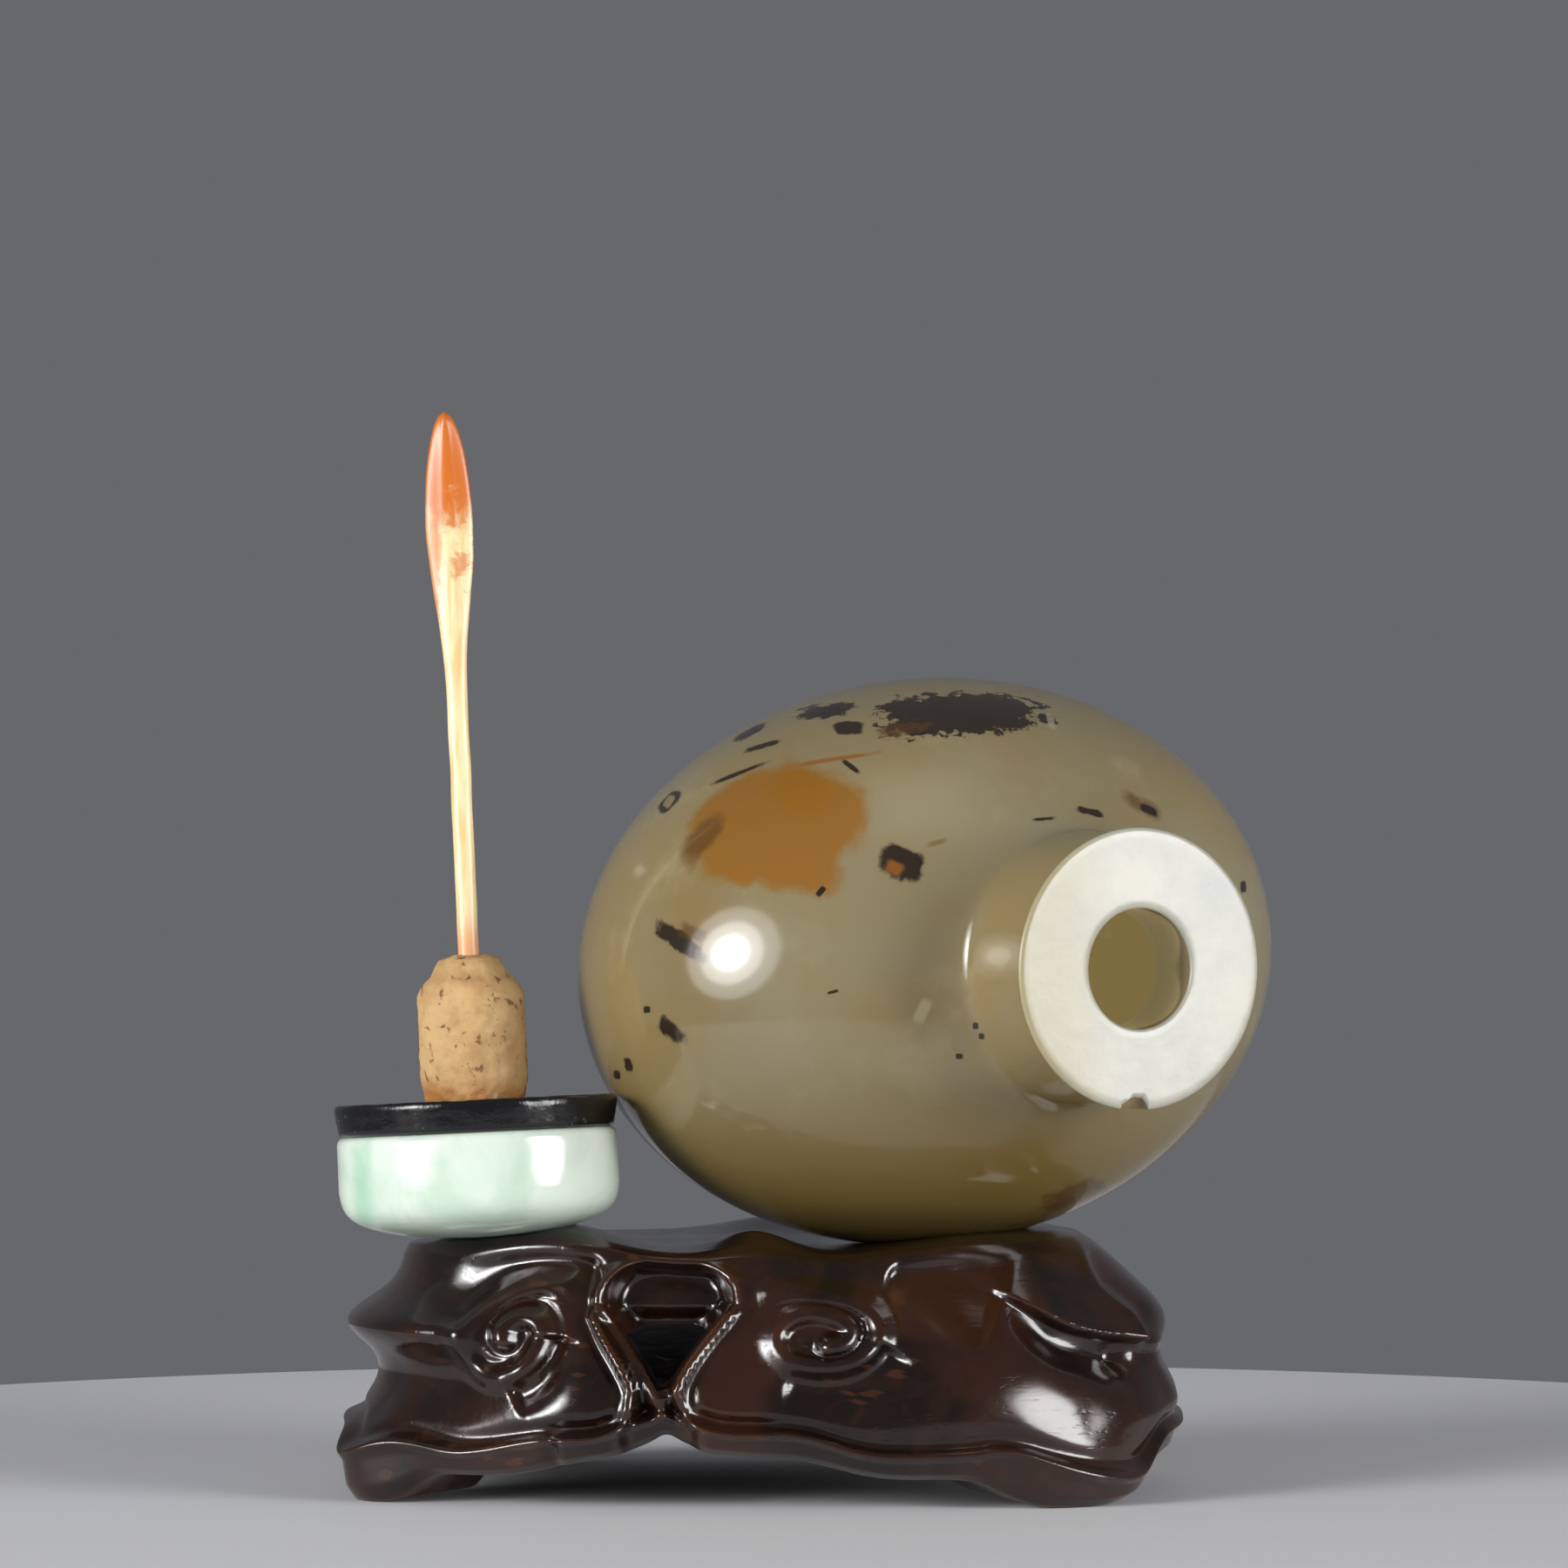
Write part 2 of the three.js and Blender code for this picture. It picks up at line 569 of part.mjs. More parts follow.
const stopper = new THREE.Group();
stopper.position.copy(STOPPER_AT);
stopper.rotation.copy(STOPPER_LEAN);
stopper.add(
  piece('stopper_cap', closedMesh(capGeometry()), finish(0xcddcd0, 0.2)),
  piece('stopper_collar', closedMesh(collarGeometry()), finish(0x0c0c0e, 0.15)),
  piece('stopper_cork', closedMesh(corkGeometry()), finish(0xcba878, 0.9)),
  piece('snuff_spoon', closedMesh(spoonGeometry()), finish(0xf3e2b4, 0.35)),
);

const stand = piece('carved_stand', standGeometry(), finish(0x2c1710, 0.25));

const display = new THREE.Group();
display.rotation.z = STAND_TURN;
display.add(stand, stopper, bottle);

const object = new THREE.Group();
object.add(display);
object.updateMatrixWorld(true);
const bounds = new THREE.Box3().setFromObject(object, true);
display.position.set(-(bounds.min.x + bounds.max.x) / 2, -(bounds.min.y + bounds.max.y) / 2, -bounds.min.z);
object.updateMatrixWorld(true);

export default object;
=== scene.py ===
"""Agate snuff bottle lying on a carved wood stand, with its stopper and spoon upside down beside it."""

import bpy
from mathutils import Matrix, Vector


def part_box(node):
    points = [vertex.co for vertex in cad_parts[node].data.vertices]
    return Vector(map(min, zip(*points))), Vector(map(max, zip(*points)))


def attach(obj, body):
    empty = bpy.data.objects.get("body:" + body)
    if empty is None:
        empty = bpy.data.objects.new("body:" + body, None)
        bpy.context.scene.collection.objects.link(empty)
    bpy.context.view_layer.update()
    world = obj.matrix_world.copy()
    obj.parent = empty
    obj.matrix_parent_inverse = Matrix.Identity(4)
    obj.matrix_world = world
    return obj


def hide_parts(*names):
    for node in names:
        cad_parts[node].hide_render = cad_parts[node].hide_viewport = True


bl_info = {
    "name": "Agate Snuff Bottle on a Carved Stand",
    "version": (1, 0, 0),
    "blender": (4, 5, 0),
    "location": "3D View > Sidebar > Snuff Bottle",
    "description": "Builds a hollow agate snuff bottle, its stopper and spoon, and their carved stand",
    "category": "Object",
}

import math

import bmesh
import bpy
import numpy as np
from mathutils import Euler, Matrix, Vector, noise

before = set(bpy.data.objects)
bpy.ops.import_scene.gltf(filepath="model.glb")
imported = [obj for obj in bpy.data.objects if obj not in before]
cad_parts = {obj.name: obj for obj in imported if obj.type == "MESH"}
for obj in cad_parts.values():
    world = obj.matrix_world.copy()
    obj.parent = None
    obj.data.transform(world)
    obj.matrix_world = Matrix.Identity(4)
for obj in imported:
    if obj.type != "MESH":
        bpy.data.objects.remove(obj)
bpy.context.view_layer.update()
MM = 0.001

# The stand, and all that the front view shows square on, is turned 30 degrees under the bottle.
STAND_TURN = math.radians(-30)

# Agate bottle, millimetres: n runs along its axis, from the foot (negative) to the mouth.
LIP_AT = 28.0
LIP_BEVEL = 0.35
NECK_WAIST_AT = 23.6
NECK_FILLET = 1.9
FOOT_AT = -21.7
FOOT_HALF_WIDTH, FOOT_HALF_DEPTH = 9.4, 7.6
HOLLOW_OPENS_AT = 0.86
CHIP_TURN = math.radians(261)
CHIP_RADIUS = 1.2
BOTTLE_ROLL = math.radians(-6.5)
BOTTLE_IN_STAND = Vector((10.1, 0.0, 37.1))

# Stopper
STOPPER_AT = Vector((-21.0, -10.4, 18.1))
STOPPER_LEAN = Euler((math.radians(-2.4), math.radians(-2.7), 0))

# Carved stand
TOP_BOX = dict(left=-26.4, right=20.8, front=-16.5, back=16.0)
TOP_HEIGHT = 17.5
FLARE = dict(left=4.3, right=6.4, front=4.2, back=4.0)
HOLLOW_BOX = dict(left=-23.5, right=19.5, front=-12.8, back=13.0)
CEILING = 13.2
PLAN_ROUNDNESS = 0.78
APRON_REST, BOARD = 2.45, 1.9
FEET = ((-29.6, -12.5, 2.6), (22.2, -17.0, 4.0), (-24.4, 15.4, 5.0), (21.0, 15.4, 4.8))


def stand_matrix():
    """From the stand's own millimetres to the shared frame's metres."""
    low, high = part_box("agate_bottle")
    turn = Matrix.Rotation(STAND_TURN, 4, "Z")
    centre = Vector(((low[0] + high[0]) / 2, low[1] + LIP_AT * MM, 0))
    offset = centre - turn @ Vector((BOTTLE_IN_STAND.x, BOTTLE_IN_STAND.y, 0)) * MM
    return Matrix.Translation(offset) @ turn @ Matrix.Scale(MM, 4)


def bottle_matrix():
    """From the bottle's own millimetres (mouth along -Y) to the shared frame's metres."""
    middle = stand_matrix() @ BOTTLE_IN_STAND
    return Matrix.Translation(middle) @ Matrix.Rotation(BOTTLE_ROLL, 4, "Y") @ Matrix.Scale(MM, 4)


def stopper_matrix():
    return stand_matrix() @ Matrix.Translation(STOPPER_AT) @ STOPPER_LEAN.to_matrix().to_4x4()


# ------------------------------------------------------------------ shared helpers
def ramp(value, start, end):
    t = np.clip((np.asarray(value, float) - start) / (end - start), 0, 1)
    return t * t * (3 - 2 * t)


def bell(distance, spread):
    return np.exp(-0.5 * (np.asarray(distance, float) / spread) ** 2)


def smooth_max(a, b, k):
    h = np.maximum(k - np.abs(a - b), 0) / k
    return np.maximum(a, b) + h * h * k * 0.25


def make_object(name, bm, material):
    mesh = bpy.data.meshes.new(name)
    bm.to_mesh(mesh)
    bm.free()
    mesh.polygons.foreach_set("use_smooth", [True] * len(mesh.polygons))
    mesh.materials.append(material)
    obj = bpy.data.objects.new(name, mesh)
    bpy.context.scene.collection.objects.link(obj)
    return obj


def declare(obj, node):
    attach(obj, "root")
    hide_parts(node)


def spin_profile(points, steps):
    """Spin (radius, height) points about Z into a closed surface."""
    bm = bmesh.new()
    verts = [bm.verts.new((radius, 0, height)) for radius, height in points]
    edges = [bm.edges.new(pair) for pair in zip(verts, verts[1:])]
    bmesh.ops.spin(bm, geom=verts + edges, axis=(0, 0, 1), cent=(0, 0, 0), angle=2 * math.pi,
                   steps=steps, use_merge=True)
    bmesh.ops.remove_doubles(bm, verts=bm.verts, dist=1e-5)
    bmesh.ops.recalc_face_normals(bm, faces=bm.faces)
    return bm


def soften_line(points, passes=2):
    """Cut the corners of an open line of (x, y) points."""
    for _ in range(passes):
        cut = [points[0]]
        for a, b in zip(points, points[1:]):
            cut.append((0.75 * a[0] + 0.25 * b[0], 0.75 * a[1] + 0.25 * b[1]))
            cut.append((0.25 * a[0] + 0.75 * b[0], 0.25 * a[1] + 0.75 * b[1]))
        cut.append(points[-1])
        points = cut
    return points


def cut_away(obj, cutter):
    """Cut the cutter's shape out of the object for good."""
    cut = obj.modifiers.new("cut", "BOOLEAN")
    cut.operation = "DIFFERENCE"
    cut.object = cutter
    bpy.context.view_layer.objects.active = obj
    with bpy.context.temp_override(object=obj, active_object=obj):
        bpy.ops.object.modifier_apply(modifier=cut.name)
    bpy.data.objects.remove(cutter, do_unlink=True)


def length_property(name, description, default, low):
    return bpy.props.FloatProperty(name=name, description=description, default=default, min=low,
                                   unit="LENGTH")


def colour_property(name, description, default):
    return bpy.props.FloatVectorProperty(name=name, description=description, subtype="COLOR", size=3,
                                         min=0, max=1, default=default)


# ------------------------------------------------------------------ shader helpers
def new_material(name):
    material = bpy.data.materials.new(name)
    material.use_nodes = True
    tree = material.node_tree
    tree.nodes.clear()
    shader = tree.nodes.new("ShaderNodeBsdfPrincipled")
    output = tree.nodes.new("ShaderNodeOutputMaterial")
    tree.links.new(shader.outputs["BSDF"], output.inputs["Surface"])
    place = tree.nodes.new("ShaderNodeTexCoord").outputs["Object"]
    return material, tree, shader, place


def noise_node(tree, vector, scale, detail=4.0, roughness=0.55, distortion=0.0):
    node = tree.nodes.new("ShaderNodeTexNoise")
    node.inputs["Scale"].default_value = scale
    node.inputs["Detail"].default_value = detail
    node.inputs["Roughness"].default_value = roughness
    node.inputs["Distortion"].default_value = distortion
    tree.links.new(vector, node.inputs["Vector"])
    return node.outputs["Fac"]


def map_range(tree, value, low, high, to_low=0.0, to_high=1.0, smooth=True):
    node = tree.nodes.new("ShaderNodeMapRange")
    node.interpolation_type = "SMOOTHSTEP" if smooth else "LINEAR"
    node.inputs["From Min"].default_value = low
    node.inputs["From Max"].default_value = high
    node.inputs["To Min"].default_value = to_low
    node.inputs["To Max"].default_value = to_high
    tree.links.new(value, node.inputs["Value"])
    return node.outputs["Result"]


def mix_color(tree, factor, first, second):
    node = tree.nodes.new("ShaderNodeMix")
    node.data_type = "RGBA"
    sockets = (node.inputs["Factor"], node.inputs["A"], node.inputs["B"])
    for socket, value in zip(sockets, (factor, first, second)):
        if isinstance(value, bpy.types.NodeSocket):
            tree.links.new(value, socket)
        elif isinstance(value, (int, float)):
            socket.default_value = value
        else:
            socket.default_value = (*value[:3], 1)
    return node.outputs["Result"]


def arithmetic(tree, operation, first, second=0.5):
    node = tree.nodes.new("ShaderNodeMath")
    node.operation = operation
    for socket, value in zip(node.inputs, (first, second)):
        if isinstance(value, bpy.types.NodeSocket):
            tree.links.new(value, socket)
        else:
            socket.default_value = value
    return node.outputs["Value"]


def bump(tree, height, strength, distance, shader):
    node = tree.nodes.new("ShaderNodeBump")
    node.inputs["Strength"].default_value = strength
    node.inputs["Distance"].default_value = distance
    tree.links.new(height, node.inputs["Height"])
    tree.links.new(node.outputs["Normal"], shader.inputs["Normal"])


def patch_group():
    """Mask of a ragged, soft-edged oval patch: 1 inside, 0 outside."""
    name = "Ragged Patch"
    if name in bpy.data.node_groups:
        return bpy.data.node_groups[name]
    tree = bpy.data.node_groups.new(name, "ShaderNodeTree")
    face = tree.interface
    for label, kind in (("Vector", "Vector"), ("Centre", "Vector"), ("Turn", "Vector"), ("Size", "Vector"),
                        ("Softness", "Float"), ("Raggedness", "Float"), ("Grain", "Float")):
        face.new_socket(name=label, in_out="INPUT", socket_type="NodeSocket" + kind)
    face.new_socket(name="Mask", in_out="OUTPUT", socket_type="NodeSocketFloat")
    given = tree.nodes.new("NodeGroupInput").outputs
    result = tree.nodes.new("NodeGroupOutput")
    wave = tree.nodes.new("ShaderNodeTexNoise")
    wave.inputs["Detail"].default_value = 5
    wave.inputs["Roughness"].default_value = 0.6
    tree.links.new(given["Vector"], wave.inputs["Vector"])
    tree.links.new(given["Grain"], wave.inputs["Scale"])
    local = tree.nodes.new("ShaderNodeMapping")
    local.vector_type = "TEXTURE"
    tree.links.new(given["Vector"], local.inputs["Vector"])
    tree.links.new(given["Centre"], local.inputs["Location"])
    tree.links.new(given["Turn"], local.inputs["Rotation"])
    tree.links.new(given["Size"], local.inputs["Scale"])
    # squares before and after the length make the oval a little squarer
    squared = tree.nodes.new("ShaderNodeVectorMath")
    squared.operation = "MULTIPLY"
    tree.links.new(local.outputs["Vector"], squared.inputs[0])
    tree.links.new(local.outputs["Vector"], squared.inputs[1])
    reach = tree.nodes.new("ShaderNodeVectorMath")
    reach.operation = "LENGTH"
    tree.links.new(squared.outputs["Vector"], reach.inputs[0])
    size = arithmetic(tree, "SQRT", reach.outputs["Value"])
    swing = arithmetic(tree, "SUBTRACT", wave.outputs["Fac"], 0.5)
    swing = arithmetic(tree, "MULTIPLY", swing, given["Raggedness"])
    total = arithmetic(tree, "ADD", size, swing)
    inner = arithmetic(tree, "SUBTRACT", 1.0, given["Softness"])
    fade = tree.nodes.new("ShaderNodeMapRange")
    fade.interpolation_type = "SMOOTHSTEP"
    fade.inputs["From Max"].default_value = 1.0
    fade.inputs["To Min"].default_value = 1.0
    fade.inputs["To Max"].default_value = 0.0
    tree.links.new(total, fade.inputs["Value"])
    tree.links.new(inner, fade.inputs["From Min"])
    tree.links.new(fade.outputs["Result"], result.inputs["Mask"])
    return tree


def patch(tree, vector, centre, turn, size, softness, raggedness, grain):
    node = tree.nodes.new("ShaderNodeGroup")
    node.node_tree = patch_group()
    tree.links.new(vector, node.inputs["Vector"])
    node.inputs["Centre"].default_value = centre
    node.inputs["Turn"].default_value = turn
    node.inputs["Size"].default_value = size
    node.inputs["Softness"].default_value = softness
    node.inputs["Raggedness"].default_value = raggedness
    node.inputs["Grain"].default_value = grain
    return node.outputs["Mask"]


# ------------------------------------------------------------------ agate bottle
def outer_radii(settings, n):
    width = settings.half_width / MM * math.sqrt(max(0, 1 - (n * MM / settings.half_length) ** 2))
    depth = width * settings.half_depth / settings.half_width
    if n > 0:
        t = (max(n, NECK_WAIST_AT - 2.5) - NECK_WAIST_AT) / (LIP_AT - NECK_WAIST_AT)
        lip, waist = settings.lip_radius / MM, settings.neck_radius / MM
        neck = waist + (lip - waist) * t * t
        return smooth_max(width, neck, NECK_FILLET * 2), smooth_max(depth, neck, NECK_FILLET * 2)
    return smooth_max(width, FOOT_HALF_WIDTH, 1), smooth_max(depth, FOOT_HALF_DEPTH, 1)


def bottle_profile(settings):
    """Rows of (n, width radius, depth radius) from the foot's middle, over the lip, to the hollow's end."""
    rows = [(FOOT_AT + 0.5, 0.0, 0.0)]
    for share in (0.2, 0.45, 0.62):
        rows.append((FOOT_AT + 0.5, FOOT_HALF_WIDTH * share, FOOT_HALF_DEPTH * share))
    for share, rise in ((0.7, 0.42), (0.75, 0.1), (0.8, 0.0), (0.9, 0.0), (0.96, 0.06), (1.0, 0.25)):
        rows.append((FOOT_AT + rise, FOOT_HALF_WIDTH * share, FOOT_HALF_DEPTH * share))
    length = settings.half_length / MM
    start, shoulder = FOOT_AT + 0.6, 16.4
    for i in range(14):
        n = start + (2.4 - 0.3) * i / 14
        rows.append((n, *outer_radii(settings, n)))
    swing_a, swing_b = math.asin((start + 2.1) / length), math.asin(shoulder / length)
    for i in range(60):
        n = length * math.sin(swing_a + (swing_b - swing_a) * i / 60)
        rows.append((n, *outer_radii(settings, n)))
    for i in range(37):
        n = shoulder + (LIP_AT - LIP_BEVEL - shoulder) * i / 36
        rows.append((n, *outer_radii(settings, n)))
    lip, mouth = settings.lip_radius / MM, settings.mouth_radius / MM
    for i in range(1, 5):
        turn = math.pi / 2 * i / 4
        r = lip - LIP_BEVEL * (1 - math.cos(turn))
        rows.append((LIP_AT - LIP_BEVEL * (1 - math.sin(turn)), r, r))
    for i in range(1, 12):
        r = lip - LIP_BEVEL + (mouth + 0.2 - lip + LIP_BEVEL) * i / 11
        rows.append((LIP_AT, r, r))
    rows += [(LIP_AT - 0.05, mouth + 0.06, mouth + 0.06), (LIP_AT - 0.2, mouth, mouth)]
    bore_end = LIP_AT - settings.mouth_length / MM
    for i in range(1, 9):
        rows.append((LIP_AT - 0.2 + (bore_end - LIP_AT + 0.2) * i / 8, mouth, mouth))
    wall = settings.wall / MM
    inner = length - wall
    for i in range(41):
        swing = math.asin(HOLLOW_OPENS_AT) + (-math.pi / 2 - math.asin(HOLLOW_OPENS_AT)) * i / 40
        share = math.cos(swing) if i < 40 else 0.0
        rows.append((inner * math.sin(swing), (settings.half_width / MM - wall) * share,
                     (settings.half_depth / MM - wall) * share))
    return rows


# Clouds and flecks in the agate, as seen on the front: x, z in the stand's millimetres, half width, half
# height, turn in degrees, softness, raggedness, grain per metre, colour name.
AGATE_MARKS = (
    (9.5, 48.6, 7.0, 4.2, 8, 0.95, 0.9, 150, "veil"),
    (11.0, 30.5, 8.0, 3.0, -12, 0.95, 1.0, 180, "veil"),
    (-6.5, 36.5, 6.5, 9.0, 15, 0.95, 0.8, 140, "shade"),
    (-0.8, 46.7, 6.6, 4.8, -8, 0.22, 0.75, 230, "amber"),
    (1.0, 49.2, 3.6, 2.4, -30, 0.7, 0.8, 300, "amber"),
    (-5.6, 46.0, 1.2, 3.0, -28, 0.5, 0.9, 420, "leaf"),
    (12.4, 54.5, 5.9, 1.6, 5, 0.12, 1.7, 900, "dark"),
    (8.0, 53.4, 2.0, 0.5, 12, 0.3, 2.0, 1100, "leaf"),
    (4.5, 53.5, 1.2, 0.55, 0, 0.25, 0.6, 900, "dark"),
    (3.0, 54.7, 2.1, 0.55, 6, 0.3, 1.8, 1000, "dark"),
    (-2.3, 53.3, 1.3, 0.45, 24, 0.35, 1.4, 1000, "dark"),
    (-1.6, 52.2, 1.5, 0.2, 16, 0.4, 1.2, 1000, "dark"),
    (-3.0, 50.4, 2.6, 0.17, 21, 0.4, 0.9, 700, "dark"),
    (3.4, 51.3, 3.5, 0.2, 9, 0.5, 1.0, 600, "stain"),
    (4.6, 50.8, 0.9, 0.2, -38, 0.4, 0.6, 800, "dark"),
    (-8.0, 48.4, 0.75, 1.05, -30, 0.25, 0.5, 900, "dark"),
    (-8.0, 48.4, 0.35, 0.6, -30, 0.4, 0.3, 900, "honey"),
    (8.1, 44.2, 1.7, 1.25, -25, 0.25, 1.0, 700, "dark"),
    (7.5, 43.9, 0.8, 0.6, -25, 0.5, 0.8, 700, "stain"),
    (2.5, 42.3, 0.45, 0.24, 50, 0.3, 0.3, 900, "dark"),
    (-7.3, 39.0, 2.3, 0.75, -32, 0.35, 1.5, 600, "dark"),
    (-6.2, 39.4, 1.3, 0.7, -20, 0.6, 1.0, 600, "leaf"),
    (-7.7, 32.7, 1.2, 0.6, -35, 0.4, 1.5, 700, "dark"),
    (-9.4, 34.1, 0.3, 0.3, 0, 0.4, 0.6, 900, "dark"),
    (-10.8, 30.2, 0.35, 0.6, 10, 0.4, 1.4, 1100, "dark"),
    (-11.6, 29.4, 0.3, 0.4, 0, 0.4, 1.2, 1100, "dark"),
    (3.3, 35.5, 0.5, 0.13, 15, 0.4, 0.5, 900, "dark"),
    (13.0, 33.2, 0.25, 0.3, 0, 0.3, 0.4, 900, "dark"),
    (13.4, 32.5, 0.25, 0.28, 0, 0.3, 0.4, 900, "dark"),
    (11.9, 31.1, 0.28, 0.22, 0, 0.3, 0.4, 900, "dark"),
    (17.7, 47.2, 1.0, 0.15, 4, 0.4, 1.2, 900, "dark"),
    (21.0, 47.7, 1.1, 0.28, -14, 0.35, 1.5, 900, "dark"),
    (24.9, 48.0, 1.9, 0.75, -22, 0.7, 1.4, 500, "leaf"),
    (25.3, 47.8, 0.8, 0.35, -22, 0.5, 1.4, 700, "dark"),
    (32.2, 42.4, 0.3, 0.5, 0, 0.4, 0.6, 900, "dark"),
    (15.8, 23.2, 5.2, 3.2, 12, 0.8, 0.9, 200, "olive"),
    (20.2, 21.0, 2.6, 0.9, 24, 0.5, 1.5, 500, "leaf"),
    (10.4, 45.6, 0.8, 0.25, 15, 0.6, 0.8, 900, "olive"),
    (9.4, 34.2, 0.55, 1.1, -25, 0.5, 0.4, 700, "pale"),
    (18.6, 54.0, 0.3, 0.9, 10, 0.5, 0.4, 900, "pale"),
    (-10.0, 43.6, 0.7, 0.6, 40, 0.8, 0.6, 500, "pale"),
)
MARK_STRENGTH = {"amber": 0.88, "leaf": 0.7, "dark": 0.95, "pale": 0.5, "olive": 0.8, "honey": 0.9,
                 "stain": 0.85, "veil": 0.22, "shade": 0.35}
DEEP_MARK, WIDE_MARK, SMALL_MARK = 16.0, 5.5, 1.5
# emission colours of the painted glow inside the hollow and the mouth
HOLLOW_PAINTED_GLOW, BORE_PAINTED_GLOW = (0.15, 0.115, 0.045), (0.12, 0.10, 0.05)


def on_bottle_front(settings, x, z):
    """The point of the bottle's body that the stand's front view shows at x, z."""
    to_bottle = bottle_matrix().inverted() @ stand_matrix()
    start = to_bottle @ Vector((x, -80, z))
    way = to_bottle.to_3x3() @ Vector((0, 1, 0))
    size = Vector((settings.half_width, settings.half_length, settings.half_depth)) / MM
    p = Vector([a / b for a, b in zip(start, size)])
    d = Vector([a / b for a, b in zip(way, size)])
    middle = p.dot(d) / d.dot(d)
    inside = max(0.0, middle ** 2 - (p.dot(p) - 1) / d.dot(d))
    return bottle_matrix() @ (start + way * (-middle - math.sqrt(inside)))


def agate_material(settings):
    material, tree, shader, place = new_material("Honey Agate")
    clouds = noise_node(tree, place, 45, detail=3, distortion=0.6)
    veil = noise_node(tree, place, 130, detail=6, roughness=0.62)
    base = mix_color(tree, map_range(tree, clouds, 0.35, 0.68),
                     settings.agate_grey, settings.agate_honey)
    base = mix_color(tree, map_range(tree, veil, 0.55, 0.8, 0, 0.35),
                     base, settings.agate_pale)
    # the lower third is more olive
    split = tree.nodes.new("ShaderNodeSeparateXYZ")
    tree.links.new(place, split.inputs[0])
    low = map_range(tree, split.outputs["Z"], 0.036, 0.020, 0, 0.85)
    base = mix_color(tree, low, base, settings.agate_olive)
    colours = {"amber": settings.agate_amber, "leaf": settings.agate_brown, "dark": settings.agate_dark,
               "pale": settings.agate_pale, "olive": settings.agate_olive, "honey": settings.agate_honey,
               "stain": settings.agate_stain, "veil": settings.agate_pale, "shade": settings.agate_olive}
    for x, z, half_x, half_z, turn, softness, ragged, grain, colour in AGATE_MARKS:
        centre = on_bottle_front(settings, x, z)
        thick = WIDE_MARK if half_x > 2 else SMALL_MARK
        if colour in ("veil", "shade", "olive"):
            thick = DEEP_MARK
        mask = patch(tree, place, centre, (0, math.radians(-turn), STAND_TURN),
                     (half_x * MM, thick * MM, half_z * MM), softness, ragged, grain)
        mask = arithmetic(tree, "MULTIPLY", mask, MARK_STRENGTH[colour])
        base = mix_color(tree, mask, base, colours[colour])
    # the ground lip is frosted and whitish; its white is partly the frost's own colour and partly painted
    # sheen, the right softbox's reflection on the rough face
    low_corner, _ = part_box("agate_bottle")
    centre_x = bottle_matrix().translation.x
    lip = map_range(tree, split.outputs["Y"], low_corner[1] + 0.0003, low_corner[1] + 0.00015)
    frost = noise_node(tree, place, 900, detail=5)
    lip_colour = mix_color(tree, map_range(tree, veil, 0.35, 0.7),
                           settings.lip_frost_and_sheen, settings.lip_grey)
    yellow = map_range(tree, split.outputs["X"], centre_x - 0.001, centre_x - 0.0075, 0, 0.8)
    lip_colour = mix_color(tree, yellow, lip_colour, settings.lip_yellow)
    base = mix_color(tree, arithmetic(tree, "MULTIPLY", lip, 0.85), base, lip_colour)
    tree.links.new(base, shader.inputs["Base Color"])
    rough = map_range(tree, lip, 0, 1, 0.11, 0.30)
    tree.links.new(rough, shader.inputs["Roughness"])
    shader.inputs["IOR"].default_value = 1.54
    shader.inputs["Subsurface Weight"].default_value = 0.3
    shader.inputs["Subsurface Radius"].default_value = (1.0, 0.8, 0.45)
    shader.inputs["Subsurface Scale"].default_value = 0.0012
    # painted glow: an emission inside the mouth and the hollow stands in for the light that comes through the
    # stone
    wall = settings.wall - 0.0006
    inner = (settings.half_width - wall, settings.half_length - wall, settings.half_depth - wall)
    middle = bottle_matrix().translation
    local = tree.nodes.new("ShaderNodeMapping")
    local.vector_type = "TEXTURE"
    local.inputs["Location"].default_value = middle
    local.inputs["Rotation"].default_value = (0, BOTTLE_ROLL, 0)
    local.inputs["Scale"].default_value = inner
    tree.links.new(place, local.inputs["Vector"])
    reach = tree.nodes.new("ShaderNodeVectorMath")
    reach.operation = "LENGTH"
    tree.links.new(local.outputs["Vector"], reach.inputs[0])
    hollow = map_range(tree, reach.outputs["Value"], 1.06, 1.02)
    mouth = settings.mouth_radius + 0.0002
    bore_at = middle + Vector((0, -LIP_AT * MM + 0.0036, 0))
    bore = patch(tree, place, bore_at, (0, 0, 0), (mouth, 0.0036, mouth), 0.05, 0, 1)
    glow = mix_color(tree, hollow, (0, 0, 0), HOLLOW_PAINTED_GLOW)
    glow = mix_color(tree, bore, glow, BORE_PAINTED_GLOW)
    tree.links.new(glow, shader.inputs["Emission Color"])
    shader.inputs["Emission Strength"].default_value = 1.0
    pits = arithmetic(tree, "MULTIPLY", frost, lip)
    bump(tree, pits, 0.12, 0.0002, shader)
    return material


